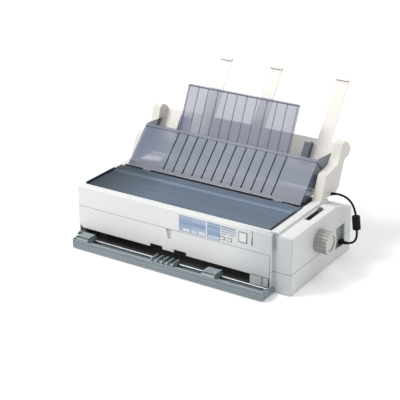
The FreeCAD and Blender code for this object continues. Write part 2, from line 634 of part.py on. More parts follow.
def feeder_frame(label, low_x, high_x, outer, base, bore_low, bore_high):
    """A side frame of the sheet feeder, with the blind bore of the pick shaft."""
    body = new_body(label)
    outline = [(d.frame_front + d.frame_length * across, d.rim_top + d.frame_height * up)
               for across, up in FRAME_SHARES]
    add(body, "YZ", [polygon(*outline)], low_x, high_x)
    if base is not None:
        add(body, "XY", [rectangle(low_x, d.frame_front, high_x, d.deck_flat)], base, d.rim_top)
    back, up = pick_place()
    cut(body, "YZ", [circle(back, up, d.pick_shaft_radius + d.running_gap)], bore_low, bore_high)
    soften(body, d.edge_round, lambda box: near(box.XMin, box.XMax)
           and box.ZMax > float(d.rim_top + d.fit_gap)
           and near(box.XMin, outer) and box.ZLength > float(d.edge_round))
    return body


def hopper_point(along, proud):
    """Back and up of a point on the hopper's own slope."""
    return (d.hopper_back + along * sine(d.hopper_angle) - proud * cosine(d.hopper_angle),
            d.hopper_up + along * cosine(d.hopper_angle) + proud * sine(d.hopper_angle))


def pick_place():
    return hopper_point(d.pick_along, d.pick_radius + d.fit_gap)


def feeder_frames():
    depth = d.frame_thick / 4
    feeder_frame("feeder_frame_left", frame_left, frame_inner_left, frame_left, d.band_height,
                 frame_inner_left - depth, frame_inner_left)
    body = feeder_frame("feeder_frame_right", frame_inner_right, frame_right, frame_right, None,
                        frame_inner_right, frame_inner_right + depth)
    # gland that the cable comes out of
    add(body, "YZ", [circle(d.gland_back, d.gland_up, d.gland_radius)], frame_right,
        frame_right + d.gland_length)
    cut(body, "YZ", [circle(d.gland_back, d.gland_up, d.cable_width / 2 + d.fit_gap)], frame_right,
        frame_right + d.gland_length)


def support_middles():
    return (-d.support_left, d.support_middle, d.support_right)


def hopper_plate():
    """The sloping plate that the blank sheets lie on, with three channels behind it."""
    body = new_body("hopper_plate", d.hopper_back, d.hopper_up, d.hopper_angle)
    add(body, "XY", [rectangle(frame_inner_left, d.hopper_start, frame_inner_right, d.hopper_end)],
        -d.hopper_thick, as_length(0))
    cheeks = []
    for across in support_middles():
        for side in (-1, 1):
            near_x = across + side * (d.support_width / 2 + d.fit_gap)
            far_x = near_x + side * d.guide_rib
            low_x, high_x = (far_x, near_x) if side < 0 else (near_x, far_x)
            cheeks.append(rectangle(low_x, d.edge_guide_start, high_x, d.hopper_end))
    add(body, "XY", cheeks, -d.hopper_thick - d.support_thick - 2 * d.fit_gap, -d.hopper_thick)


def feeder_beams():
    """Lower cross beam and upper tie bar between the feeder's side frames."""
    body = new_body("feeder_beams")
    add(body, "YZ", [rectangle(d.beam_back, d.beam_low, d.beam_back + d.beam_depth / 2,
                               d.beam_low + d.beam_height)], frame_inner_left, frame_inner_right)
    back, up = hopper_point(d.tie_along, -d.tie_behind)
    add(body, "YZ", [circle(back, up, d.tie_radius)], frame_inner_left, frame_inner_right)


def pick_shaft():
    body = new_body("pick_shaft")
    back, up = pick_place()
    depth = d.frame_thick / 4 - d.fit_gap
    add(body, "YZ", [circle(back, up, d.pick_shaft_radius)], frame_inner_left - depth,
        frame_inner_right + depth)


def pick_rollers():
    body = new_body("pick_rollers")
    back, up = pick_place()
    count = SIZES["roller_count"]
    for n in range(count):
        start = middle + (n - (count - 1) / 2) * d.roller_pitch - d.roller_width / 2
        add(body, "YZ", [circle(back, up, d.pick_radius), circle(back, up, d.pick_shaft_radius)],
            start, start + d.roller_width)


def paper_supports():
    """Three pull-out rests behind the hopper, each with a raised tip."""
    names = ("paper_support_left", "paper_support_middle", "paper_support_right")
    back_face = -d.hopper_thick - d.fit_gap
    for name, across in zip(names, support_middles()):
        body = new_body(name, d.hopper_back, d.hopper_up, d.hopper_angle)
        half = d.support_width / 2
        add(body, "XY", [rectangle(across - half, d.support_start, across + half, d.support_end)],
            back_face - d.support_thick, back_face)
        add(body, "XY", [rectangle(across - half, d.support_end - d.support_tip / 2, across + half,
                                   d.support_end)], back_face, d.support_tip_rise - d.hopper_thick)
        soften(body, d.support_tip / 4, lambda box: near(box.YMin, d.support_end) and near(box.XMin, box.XMax)
               and near(box.YMax, d.support_end))


def edge_guides():
    """Left and right fences that slide across the hopper."""
    for name, across, side in (("edge_guide_left", -d.edge_guide_left, -1),
                               ("edge_guide_right", as_length(0) + d.edge_guide_right, 1)):
        body = new_body(name, d.hopper_back, d.hopper_up, d.hopper_angle)
        far_x = across - side * d.edge_guide_base
        low_x, high_x = (across, far_x) if side < 0 else (far_x, across)
        add(body, "XY", [rectangle(low_x, d.edge_guide_start, high_x, d.edge_guide_end)],
            d.fit_gap, d.fit_gap + d.edge_guide_thick / 2)
        fin_far = across + side * d.edge_guide_thick
        low_x, high_x = (fin_far, across) if side < 0 else (across, fin_far)
        add(body, "XY", [rectangle(low_x, d.edge_guide_start, high_x, d.edge_guide_end)],
            d.fit_gap, d.edge_guide_height)


def gear_places():
    """Back and up of the gears from the platen forward, each pair a pitch distance apart."""
    half = d.gear_module.value / 2
    radii = {name: SIZES[f"{name}_teeth"] * half
             for name in ("platen", "upper", "lower", "front", "tractor", "pinion")}
    platen = (d.platen_back.value, d.platen_up.value)
    front = (d.front_gear_back.value, d.front_gear_up.value)
    span = math.dist(front, platen)
    along = ((platen[0] - front[0]) / span, (platen[1] - front[1]) / span)
    first = radii["front"] + radii["lower"]
    lower = (front[0] + along[0] * first, front[1] + along[1] * first)
    one = radii["lower"] + radii["upper"]
    two = radii["upper"] + radii["platen"]
    rest = span - first
    run = (one ** 2 - two ** 2 + rest ** 2) / (2 * rest)
    drop = math.sqrt(max(one ** 2 - run ** 2, 0))
    upper = (lower[0] + along[0] * run + along[1] * drop, lower[1] + along[1] * run - along[0] * drop)
    reach = radii["front"] + radii["tractor"]
    rise = d.tractor_shaft_up.value - front[1]
    tractor = (front[0] - math.sqrt(reach ** 2 - rise ** 2), front[1] + rise)
    turn = math.radians(d.pinion_angle.value)
    reach = radii["platen"] + radii["pinion"]
    pinion = (platen[0] + reach * math.cos(turn), platen[1] - reach * math.sin(turn))
    return radii, dict(platen=platen, upper=upper, lower=lower, front=front, tractor=tractor, pinion=pinion)


def gear_phases(radii, places):
    """Angle of one tooth of each gear, so that every pair meets tooth to gap."""
    phases = {"platen": 0.0}
    for driver, driven in (("platen", "upper"), ("upper", "lower"), ("lower", "front"),
                           ("front", "tractor"), ("platen", "pinion")):
        line = math.atan2(places[driven][1] - places[driver][1], places[driven][0] - places[driver][0])
        pitch = 2 * math.pi / SIZES[f"{driver}_teeth"]
        offset = (phases[driver] - line + pitch / 2) % pitch - pitch / 2
        gap = line + math.pi - offset * radii[driver] / radii[driven]
        phases[driven] = gap + math.pi / SIZES[f"{driven}_teeth"]
    return phases


GEAR_RADII, GEAR_PLACES = gear_places()
GEAR_PHASES = gear_phases(GEAR_RADII, GEAR_PLACES)


def gear_solid(name, bore):
    """A spur gear between the gear train's two faces, about the X axis through its place."""
    module = d.gear_module.value
    teeth = SIZES[f"{name}_teeth"]
    radius = GEAR_RADII[name]
    back, up = GEAR_PLACES[name]
    tip = radius + module * 0.9
    root = radius - module * 1.15
    pitch_half = (math.pi * module / 4 - d.gear_backlash.value) / radius
    tip_half = pitch_half - module * 0.36 / radius
    root_half = pitch_half + module * 0.2 / radius
    corners = []
    for n in range(teeth):
        middle_angle = GEAR_PHASES[name] + 2 * math.pi * n / teeth
        for reach, angle in ((root, -root_half), (tip, -tip_half), (tip, tip_half), (root, root_half)):
            turn = middle_angle + angle
            corners.append(FreeCAD.Vector(gear_inner.value, back + reach * math.cos(turn),
                                          up + reach * math.sin(turn)))
    face = Part.Face(Part.makePolygon(corners + corners[:1]))
    solid = face.extrude(FreeCAD.Vector(d.gear_width.value, 0, 0))
    centre = FreeCAD.Vector(gear_inner.value, back, up)
    across = FreeCAD.Vector(1, 0, 0)
    if bore:
        solid = solid.cut(Part.makeCylinder(bore, d.gear_width.value, centre, across))
        # web thinned on both faces of the larger gears
        if radius > 2 * bore + 3 * module:
            ring = Part.makeCylinder(root - 2 * module, d.gear_width.value / 4, centre, across)
            hub = Part.makeCylinder(2 * bore, d.gear_width.value / 4, centre, across)
            solid = solid.cut(ring.cut(hub))
    return solid


def feature(label, shape):
    item = doc.addObject("Part::Feature", label)
    item.Label = label
    item.Shape = shape
    return placed(item)


def feed_gears():
    gap = d.running_gap.value
    for name in ("upper", "lower", "front"):
        feature(f"feed_gear_{name}", gear_solid(name, d.stud_radius.value + gap))
    feature("platen_gear", gear_solid("platen", d.platen_shaft_radius.value + gap))
    across = FreeCAD.Vector(1, 0, 0)
    start = FreeCAD.Vector(gear_inner.value, *GEAR_PLACES["tractor"])
    shaft = Part.makeCylinder(d.tractor_shaft_radius.value,
                              tractor_right_end.value - gear_inner.value, start, across)
    feature("tractor_shaft", gear_solid("tractor", 0).fuse(shaft).removeSplitter())
    start = FreeCAD.Vector(gear_inner.value, *GEAR_PLACES["pinion"])
    length = -d.chassis_left.value - gear_inner.value + d.motor_length.value / 2
    shaft = Part.makeCylinder(d.motor_shaft_radius.value, length, start, across)
    feature("motor_pinion", gear_solid("pinion", 0).fuse(shaft).removeSplitter())


def chassis_outline(nose):
    top = floor_top + d.chassis_height
    far = chassis_end
    ear = d.hinge_radius - d.fit_gap
    return polygon((nose, floor_top), (nose, d.front_gear_up + 2 * d.stud_radius),
                   (d.chassis_front, d.front_gear_up + 4 * d.stud_radius),
                   (d.chassis_front, d.rail_up + d.rail_depth),
                   (d.platen_back - 2 * d.platen_radius, top - d.platen_radius), (d.platen_back, top),
                   (d.hinge_line - ear, top), (d.hinge_line - ear, d.hood_top - d.hinge_radius),
                   (d.hinge_line + ear, d.hood_top - d.hinge_radius), (d.hinge_line + ear, top),
                   (far, top - 2 * d.platen_radius), (far, floor_top))


def chassis_plate(label, low_x, high_x, nose):
    body = new_body(label)
    add(body, "YZ", [chassis_outline(nose)], low_x, high_x)
    pin_up = d.hood_top - d.hinge_radius
    add(body, "YZ", [circle(d.hinge_line, pin_up, d.hinge_radius - d.fit_gap)], low_x, high_x)
    cut(body, "YZ", [circle(d.platen_back, d.platen_up, d.platen_shaft_radius + d.running_gap),
                     circle(d.hinge_line, pin_up, d.hinge_bore + d.running_gap)], low_x, high_x)
    return body


def place_of(name):
    """The gear's place as plain sizes, since it comes from where two pitch circles meet."""
    back, up = GEAR_PLACES[name]
    return as_length(back), as_length(up)


def chassis_plates():
    low_x = -d.chassis_left - d.chassis_thick
    body = chassis_plate("chassis_plate_left", low_x, -d.chassis_left, d.chassis_nose)
    studs = [circle(*place_of(name), d.stud_radius) for name in ("upper", "lower", "front")]
    add(body, "YZ", studs, gear_inner, low_x)
    cut(body, "YZ", [circle(*place_of("pinion"), 2 * d.motor_shaft_radius)], low_x, -d.chassis_left)
    high_x = d.chassis_right + d.chassis_thick
    body = chassis_plate("chassis_plate_right", d.chassis_right, high_x, d.chassis_front - d.fit_gap)
    add(body, "YZ", [circle(d.lever_pivot_back, d.lever_pivot_up, d.lever_pin_radius)], high_x,
        right - d.slot_left + d.slot_width)


def feed_motor():
    body = new_body("feed_motor")
    start = -d.chassis_left
    add(body, "YZ", [circle(*place_of("pinion"), d.motor_radius)], start, start + d.motor_length)
    cut(body, "YZ", [circle(*place_of("pinion"), d.motor_shaft_radius + d.running_gap)], start,
        start + d.motor_length)
    soften(body, d.edge_round, lambda box: near(box.XMin, start + d.motor_length)
           and box.ZLength > float(d.motor_radius))


def platen():
    body = new_body("platen_roller")
    axis = (d.platen_back, d.platen_up)
    add(body, "YZ", [circle(*axis, d.platen_radius), circle(*axis, d.platen_shaft_radius)],
        platen_left, platen_right)
    body = new_body("platen_shaft")
    add(body, "YZ", [circle(*axis, d.platen_shaft_radius)], gear_inner,
        right + d.knob_reach - 2 * d.knob_dish)


def platen_knob():
    body = new_body("platen_knob")
    axis = (d.platen_back, d.platen_up)
    face = right + d.knob_reach
    add(body, "YZ", [circle(*axis, d.knob_radius)], right + d.knob_gap, face)
    add(body, "YZ", [circle(*axis, d.knob_hub)], right - 2 * d.case_wall, right + d.knob_gap)
    cut(body, "YZ", [circle(*axis, d.platen_shaft_radius + d.running_gap)], right - 2 * d.case_wall,
        face - 2 * d.knob_dish)
    cut(body, "YZ", [circle(*axis, d.knob_radius - 2 * d.knob_dish)], face - d.knob_dish, face)
    soften(body, d.knob_dish / 2, lambda box: near(box.XMin, face)
           and box.ZLength > float(d.knob_radius + d.knob_hub))
    flutes = []
    for n in range(SIZES["flute_count"]):
        turn = 360 * n / SIZES["flute_count"]
        flutes.append(circle(axis[0] + d.knob_radius * sine(as_length(turn)),
                             axis[1] + d.knob_radius * cosine(as_length(turn)), d.flute_radius))
    cut(body, "YZ", flutes, right + 2 * d.knob_gap, face)


def carriage_rails():
    body = new_body("carriage_rails")
    add(body, "YZ", [circle(d.rod_back, d.rod_up, d.rod_radius)], -d.chassis_left, d.chassis_right)
    add(body, "YZ", [polygon((d.rail_back, d.rail_up), (d.rail_back + d.rail_depth, d.rail_up),
                             (d.rail_back + d.rail_depth, d.rail_up + d.rail_thick),
                             (d.rail_back - d.rail_thick, d.rail_up + d.rail_thick),
                             (d.rail_back - d.rail_thick, d.rail_up - d.rail_depth),
                             (d.rail_back, d.rail_up - d.rail_depth))], -d.chassis_left, d.chassis_right)


def belt_run():
    """Back of the belt's rear run, which the carriage holds."""
    return d.pulley_back + d.pulley_radius + d.fit_gap + d.belt_thick


def print_carriage():
    body = new_body("carriage")
    half = d.carriage_width / 2
    front = belt_run() + d.fit_gap
    back = d.rod_back + 4 * d.rod_radius
    low = d.rod_up - 2 * d.rod_radius
    top = d.rail_up + d.rail_thick + d.fit_gap + d.rail_thick
    slab = polygon((front, low), (back, low), (back, top), (d.rail_back, top),
                   (d.rail_back, top - d.rail_thick), (front, top - d.rail_thick))
    add(body, "YZ", [slab], middle - half, middle + half)
    cut(body, "YZ", [circle(d.rod_back, d.rod_up, d.rod_radius + d.running_gap)], middle - half,
        middle + half)
    body = new_body("print_head")
    half = d.head_width / 2
    nose = d.platen_back - d.platen_radius - d.head_gap
    rear = nose - d.head_nose / 2
    add(body, "XY", [rectangle(middle - half, d.rod_back, middle + half, rear)], top, top + d.head_height / 2)
    add(body, "XY", [polygon((middle - half, rear), (middle + half, rear), (middle + d.head_nose / 2, nose),
                             (middle - d.head_nose / 2, nose))], top, top + d.head_height / 3)
    fins = [rectangle(middle - half, d.rod_back + n * 2 * d.head_fin, middle + half,
                      d.rod_back + n * 2 * d.head_fin + d.head_fin) for n in range(SIZES["head_fin_count"])]
    add(body, "XY", fins, top + d.head_height / 2, top + 2 * d.head_height / 3)


def ribbon_arm_places():
    """Inner faces of the cartridge's two arms."""
    reach = d.platen_length / 2 + d.ribbon_arm / 2
    return middle - reach, middle + reach


def ribbon_cartridge():
    body = new_body("ribbon_cartridge")
    far = d.ribbon_back + d.ribbon_depth
    top = d.ribbon_up + d.ribbon_height
    add(body, "XY", [rectangle(-d.chassis_left, d.ribbon_back, d.chassis_right, far)], d.ribbon_up, top)
    left_arm, right_arm = ribbon_arm_places()
    nose = d.platen_back - d.platen_radius - d.head_gap / 2
    for low_x, high_x in ((left_arm - d.ribbon_arm, left_arm), (right_arm, right_arm + d.ribbon_arm)):
        add(body, "YZ", [polygon((far, d.ribbon_up), (nose, d.ribbon_band_up),
                                 (nose, d.ribbon_band_up + d.ribbon_band), (far, top))], low_x, high_x)
    # band of inked cloth between the arms
    add(body, "XY", [rectangle(left_arm, nose - d.ribbon_thick, right_arm, nose)],
        d.ribbon_band_up, d.ribbon_band_up + d.ribbon_band)
    knob_x, knob_y = ribbon_knob_place()
    cut(body, "XY", [circle(knob_x, knob_y, d.ribbon_knob_radius / 2 + d.running_gap)],
        d.ribbon_up + d.ribbon_height / 2, top)


def ribbon_knob_place():
    return -d.chassis_left + 6 * d.ribbon_knob_radius, d.ribbon_back + d.ribbon_depth / 2


def ribbon_knob():
    body = new_body("ribbon_knob")
    x, y = ribbon_knob_place()
    top = d.ribbon_up + d.ribbon_height
    add(body, "XY", [circle(x, y, d.ribbon_knob_radius)], top + d.fit_gap, top + d.ribbon_knob_height)
    add(body, "XY", [circle(x, y, d.ribbon_knob_radius / 2)], d.ribbon_up + d.ribbon_height / 2 + d.fit_gap,
        top + d.fit_gap)


def pulley_places():
    return -d.chassis_left + d.pulley_inset, d.chassis_right - d.pulley_inset


def belt_drive():
    """Carriage motor, both pulleys and the belt round them."""
    drive_x, idler_x = pulley_places()
    y = d.pulley_back
    belt_top = d.belt_up + d.belt_height
    body = new_body("carriage_motor")
    add(body, "XY", [circle(drive_x, y, d.pulley_inset - d.fit_gap)], floor_top, floor_top + d.motor_height)
    add(body, "XY", [circle(drive_x, y, d.pulley_shaft_radius)], floor_top + d.motor_height, belt_top)
    for label, x in (("drive_pulley", drive_x), ("idler_pulley", idler_x)):
        body = new_body(label)
        add(body, "XY", [circle(x, y, d.pulley_radius),
                         circle(x, y, d.pulley_shaft_radius + d.running_gap)], d.belt_up, belt_top)
    body = new_body("timing_belt")
    inner = d.pulley_radius + d.fit_gap
    outer = inner + d.belt_thick
    add(body, "XY", [rectangle(drive_x, y - outer, idler_x, y + outer)], d.belt_up, belt_top)
    for x in (drive_x, idler_x):
        add(body, "XY", [circle(x, y, outer)], d.belt_up, belt_top)
    cut(body, "XY", [rectangle(drive_x, y - inner, idler_x, y + inner)], d.belt_up, belt_top)
    for x in (drive_x, idler_x):
        cut(body, "XY", [circle(x, y, inner)], d.belt_up, belt_top)


def sheet_strip(points, thick):
    """Outline of a bent sheet: the points forward, then back along a line one thickness higher."""
    return polygon(*points, *[(y, z + thick) for y, z in reversed(points)])


def paper_pan():
    """The bent sheets that lead paper to the platen from the front and from the feeder."""
    body = new_body("paper_pan")
    under = d.platen_up - d.platen_radius - 2 * d.pan_thick - d.fit_gap
    level_end = d.platen_back - 2 * d.platen_radius
    front = [(d.pan_front, d.pan_up), (d.belt_up, d.pan_dip), (level_end, d.pan_level),
             (d.platen_back, under), (d.platen_back + d.platen_radius, under + d.pan_thick * 4)]
    add(body, "YZ", [sheet_strip(front, d.pan_thick)], platen_left, platen_right)
    # tabs that reach the chassis plates
    slope = (d.pan_level - d.pan_dip) / (level_end - d.belt_up)
    tab = [(level_end - d.pan_tab, d.pan_level - d.pan_tab * slope), (level_end, d.pan_level)]
    add(body, "YZ", [sheet_strip(tab, d.pan_thick)], -d.chassis_left, d.chassis_right)
    chute = [(chute_front, d.chute_low), (d.chute_back, d.chute_high)]
    add(body, "YZ", [sheet_strip(chute, d.pan_thick)], platen_left, platen_right)
    slope = (d.chute_high - d.chute_low) / (d.chute_back - chute_front)
    tab = [(chute_front + d.pan_tab, d.chute_low + d.pan_tab * slope),
           (chute_front + 1.5 * d.pan_tab, d.chute_low + 1.5 * d.pan_tab * slope)]
    add(body, "YZ", [sheet_strip(tab, d.pan_thick)], -d.chassis_left, d.chassis_right)


def main_board():
    body = new_body("main_board")
    top = d.board_up + d.board_thick
    add(body, "XY", [rectangle(-d.board_left, board_start, d.board_right, board_end)], d.board_up, top)
    width = d.board_left + d.board_right
    chips = []
    for across, back, size in ((0.2, 0.25, 0.14), (0.45, 0.3, 0.1), (0.62, 0.62, 0.16), (0.3, 0.65, 0.12)):
        low_x = -d.board_left + width * across
        low_y = board_start + (board_end - board_start) * back
        chips.append(rectangle(low_x, low_y, low_x + width * size, low_y + width * size / 2))
    add(body, "XY", chips, top, top + d.chip_height)
    # data connector that looks out of the rear wall
    half = d.data_width / 2 - d.fit_gap
    rear = d.case_depth - d.case_wall
    add(body, "XZ", [rectangle(-d.data_middle - half, d.board_up + d.board_thick, -d.data_middle + half,
                               d.data_up + d.data_height)], board_end - d.data_depth, rear)
    cut(body, "XZ", [rectangle(-d.data_middle - half + d.case_wall, d.data_up + d.case_wall,
                               -d.data_middle + half - d.case_wall, d.data_up + d.data_height - d.case_wall)],
        rear - d.data_depth, rear)


def power_unit():
    body = new_body("power_unit")
    add(body, "XY", [rectangle(d.power_left, power_start, d.power_right, power_end)], floor_top,
        floor_top + d.power_height)
    vents = [rectangle(d.power_left + d.vent_start + n * d.vent_pitch, power_start + d.vent_start,
                       d.power_left + d.vent_start + n * d.vent_pitch + d.vent_width,
                       power_end - d.vent_start) for n in range(SIZES["vent_count"])]
    cut(body, "XY", vents, floor_top + d.power_height - d.case_wall, floor_top + d.power_height)


def power_inlet():
    """Mains inlet and the frame of the rocker, behind the rear wall."""
    body = new_body("power_inlet")
    rear = d.case_depth - d.case_wall
    flange = d.case_wall
    low = d.inlet_up
    for across, width, height in ((-d.inlet_middle, d.inlet_width, d.inlet_height),
                                  (-d.switch_middle, d.switch_width, d.switch_height)):
        half = width / 2 - d.fit_gap
        add(body, "XZ", [rectangle(across - half - flange, low - flange, across + half + flange,
                                   low + height + flange)], rear - flange, rear)
        add(body, "XZ", [rectangle(across - half, low + d.fit_gap, across + half, low + height - d.fit_gap)],
            rear - d.inlet_depth, rear + d.case_wall / 2)
    half = d.inlet_width / 2 - d.case_wall
    cut(body, "XZ", [rectangle(-d.inlet_middle - half, low + d.case_wall, -d.inlet_middle + half,
                               low + d.inlet_height - d.case_wall)], rear - d.inlet_depth / 2, d.case_depth)
    half = d.switch_width / 2 - 2 * d.fit_gap
    cut(body, "XZ", [rectangle(-d.switch_middle - half, low + 3 * d.fit_gap, -d.switch_middle + half,
                               low + d.switch_height - 3 * d.fit_gap)], rear - d.switch_depth, d.case_depth)
    # seats of the rocker's pivot
    half = d.switch_width / 2
    cut(body, "YZ", [circle(*rocker_axis(), d.pin_radius + d.fit_gap)], -d.switch_middle - half,
        -d.switch_middle + half)
    # contact blades of the inlet
    blades = [rectangle(-d.inlet_middle + (n - 1) * d.vent_width - d.pin_radius / 2,
                        low + d.inlet_height / 2 - d.pin_radius,
                        -d.inlet_middle + (n - 1) * d.vent_width + d.pin_radius / 2,
                        low + d.inlet_height / 2 + d.pin_radius) for n in range(3)]
    add(body, "XZ", blades, rear - d.inlet_depth / 2 - d.fit_gap, rear)


def rocker_axis():
    return d.case_depth - d.case_wall - d.rocker_rise, d.inlet_up + d.switch_height / 2


def power_rocker():
    body = new_body("power_rocker")
    axis_y, axis_z = rocker_axis()
    half = d.switch_height / 2 - 2 * d.lug_thick / 2
    face = d.case_depth + d.rocker_rise / 2
    inner = axis_y - d.rocker_rise
    rocker = polygon((inner, axis_z - half / 2), (face, axis_z - half), (face - d.rocker_rise, axis_z),
                     (face - d.rocker_rise / 2, axis_z + half), (inner, axis_z + half / 2))
    width = d.switch_width / 2 - 3 * d.fit_gap
    add(body, "YZ", [rocker], -d.switch_middle - width, -d.switch_middle + width)
    pivot = width + 2 * d.fit_gap
    add(body, "YZ", [circle(axis_y, axis_z, d.pin_radius)], -d.switch_middle - pivot,
        -d.switch_middle + pivot)


def feeder_socket():
    """The recessed box in the right wall with the socket that the feeder's plug goes into."""
    body = new_body("feeder_socket")
    wall = d.case_wall / 2
    inner = right - d.case_wall
    deep = right - d.recess_deep
    add(body, "YZ", [rectangle(recess_start - wall, d.recess_low - wall, recess_end + wall,
                               d.recess_high + wall)], deep - wall, inner)
    cut(body, "YZ", [rectangle(recess_start, d.recess_low, recess_end, d.recess_high)], deep, inner)
    half_width = d.socket_width / 2
    half_height = d.socket_height / 2
    add(body, "YZ", [rectangle(socket_middle - half_width, d.socket_up - half_height,
                               socket_middle + half_width, d.socket_up + half_height)],
        deep, deep + d.socket_depth)


def release_lever():
    body = new_body("release_lever")
    low_x = right - d.slot_left + (d.slot_width - d.lever_width) / 2
    half = d.lever_thick / 2
    tip_up = d.block_height + d.lever_reach
    arm = polygon((d.lever_pivot_back - 2 * half, d.lever_pivot_up),
                  (d.lever_pivot_back + 2 * half, d.lever_pivot_up),
                  (d.lever_tip_back + half, tip_up), (d.lever_tip_back - half, tip_up))
    add(body, "YZ", [arm], low_x, low_x + d.lever_width)
    add(body, "YZ", [circle(d.lever_pivot_back, d.lever_pivot_up, 2 * d.lever_pin_radius)], low_x,
        low_x + d.lever_width)
    cut(body, "YZ", [circle(d.lever_pivot_back, d.lever_pivot_up, d.lever_pin_radius + d.running_gap)],
        low_x, low_x + d.lever_width)
    soften(body, half / 2, lambda box: near(box.ZMin, tip_up) and near(box.ZMax, tip_up))


def tractor_shaft_place():
    return place_of("tractor")


def tractor_frame():
    """End plates, U shaped tray, guide rod and middle paper rest of the push tractor."""
    body = new_body("tractor_frame")
    front = -d.tractor_reach
    low = d.tray_low
    outline = [(front, low), (front, d.front_bar_top), (front + d.bead * 2, d.end_plate_top),
               (-d.shoulder_back, d.plate_shoulder), (-d.rear_bar_back, d.plate_heel),
               (-d.rear_bar_back, low)]
    shaft = tractor_shaft_place()
    bore = circle(*shaft, d.tractor_shaft_radius + d.running_gap)
    inner_left = -d.chassis_left
    inner_right = tractor_right_end - d.end_plate
    add(body, "YZ", [polygon(*outline)], tractor_left_end, inner_left)
    add(body, "YZ", [polygon(*outline)], inner_right, tractor_right_end)
    # arms that seat on the chassis plate and on the block's front face
    add(body, "YZ", [rectangle(-d.rear_bar_back, floor_top + d.fit_gap, d.chassis_nose,
                               shaft[1] - d.tractor_shaft_radius)],
        -d.chassis_left - d.chassis_thick, inner_left)
    add(body, "YZ", [rectangle(-d.rear_bar_back, low, d.block_setback, d.plate_heel)],
        inner_right, tractor_right_end)
    # tray: front bar with beads, floor and rear bar
    thick = d.tray_thick
    rear = -d.rear_bar_back
    top = d.front_bar_top
    tray = polygon((front, low), (front, top - 3 * d.bead), (front + d.bead_reach, top - 3 * d.bead),
                   (front + d.bead_reach, top - 2 * d.bead), (front, top - 2 * d.bead), (front, top - d.bead),
                   (front + d.bead_reach, top), (front + thick + d.bead_reach, top),
                   (front + thick + d.bead_reach, low + thick), (rear - thick, low + thick),
                   (rear - thick, d.rear_bar_top), (rear, d.rear_bar_top), (rear, low))
    add(body, "YZ", [tray], inner_left, inner_right)
    cut(body, "YZ", [bore], tractor_left_end, inner_left)
    cut(body, "YZ", [bore], inner_right, tractor_right_end)
    add(body, "YZ", [circle(-d.guide_rod_back, d.guide_rod_up, d.guide_rod_radius)], inner_left, inner_right)
    # middle rest of thin ribs on the rod
    half = d.rest_width / 2
    rib = polygon((-d.tractor_front, d.tractor_bottom), (-d.tractor_front, d.tractor_top - d.tractor_round),
                  (-d.tractor_front + d.tractor_round, d.tractor_top),
                  (-d.tractor_rear - d.tractor_round / 2, d.tractor_top), (-d.tractor_rear, d.tractor_bottom))
    for n in range(5):
        start = middle - half + n * (d.rest_width - d.rest_rib) / 4
        add(body, "YZ", [rib], start, start + d.rest_rib)
    add(body, "YZ", [rectangle(-d.tractor_front + d.tractor_round, d.tractor_bottom,
                               -d.guide_rod_back + 2 * d.guide_rod_radius,
                               d.guide_rod_up + d.guide_rod_radius + d.rest_rib)],
        middle - half, middle + half)
    cut(body, "YZ", [circle(*shaft, d.tractor_shaft_radius + d.fit_gap)], middle - half, middle + half)


def tractor_places():
    return (("left", -d.left_tractor, -1), ("right", as_length(0) + d.right_tractor, 1))


def tractors():
    """The two sprocket units, which slide on the shaft and the rod, and their hinged flaps."""
    shaft = tractor_shaft_place()
    half = d.tractor_width / 2
    for side, across, sense in tractor_places():
        body = new_body(f"tractor_{side}")
        low = d.tray_low + d.tray_thick + d.fit_gap * 4
        add(body, "YZ", [rectangle(-d.tractor_front, low + d.tray_thick, -d.tractor_rear, d.tractor_top)],
            across - half, across + half)
        soften(body, d.tractor_round, lambda box: near(box.ZMin, d.tractor_top)
               and near(box.ZMax, d.tractor_top) and box.XLength > float(half))
        cut(body, "YZ", [circle(*shaft, d.tractor_shaft_radius + d.running_gap),
                         circle(-d.guide_rod_back, d.guide_rod_up, d.guide_rod_radius + d.running_gap)],
            across - half, across + half)
        middle_y = -(d.tractor_front + d.tractor_rear) / 2
        count = SIZES["sprocket_count"]
        pins = [circle(across, middle_y + (n - (count - 1) / 2) * d.sprocket_pitch, d.sprocket_radius)
                for n in range(count)]
        add(body, "XY", pins, d.tractor_top - d.sprocket_radius, d.tractor_top + d.sprocket_height)
        # flap, hinged along the outer edge of the unit
        hinge_x = across + sense * (half - d.flap_hinge)
        hinge_z = d.tractor_top + d.flap_hinge + d.fit_gap
        start = -d.tractor_front + d.tractor_round
        end = -d.tractor_rear - d.tractor_round / 2
        ear_low = hinge_x - d.flap_hinge
        ear_high = hinge_x + d.flap_hinge
        ears = rectangle(ear_low, start - d.flap_thick, ear_high, start - d.fit_gap)
        far_ears = rectangle(ear_low, end + d.fit_gap, ear_high, end + d.flap_thick)
        add(body, "XY", [ears, far_ears], d.tractor_top - 2 * d.flap_thick, hinge_z + d.flap_hinge)
        pin = circle(hinge_x, hinge_z, d.flap_hinge / 2)
        add(body, "XZ", [pin], start - d.fit_gap, end + d.fit_gap)
        flap = new_body(f"tractor_flap_{side}")
        low = d.tractor_top + d.flap_lift
        far_x = across - sense * half
        low_x, high_x = (hinge_x, far_x) if sense < 0 else (far_x, hinge_x)
        add(flap, "XY", [rectangle(low_x, start, high_x, end)], low, low + d.flap_thick / 2)
        add(flap, "XZ", [circle(hinge_x, hinge_z, d.flap_hinge)], start, end)
        cut(flap, "XZ", [circle(hinge_x, hinge_z, d.flap_hinge / 2 + d.running_gap)], start, end)


# The cable's route: out of the gland, over the block, down through the core and round to the plug.
CABLE_ROUTE = ((262, 265, 158), (279, 264.8, 162.2), (295.5, 265.5, 161.8), (310.5, 267, 156.5),
               (322.5, 268, 146), (330, 267.7, 132), (335, 267, 116.5), (340, 265.5, 81.5),
               (341.5, 265.2, 65), (337, 265.8, 50), (325.5, 267, 40.5), (312, 268, 38))
CORNER_SHARE = 0.45


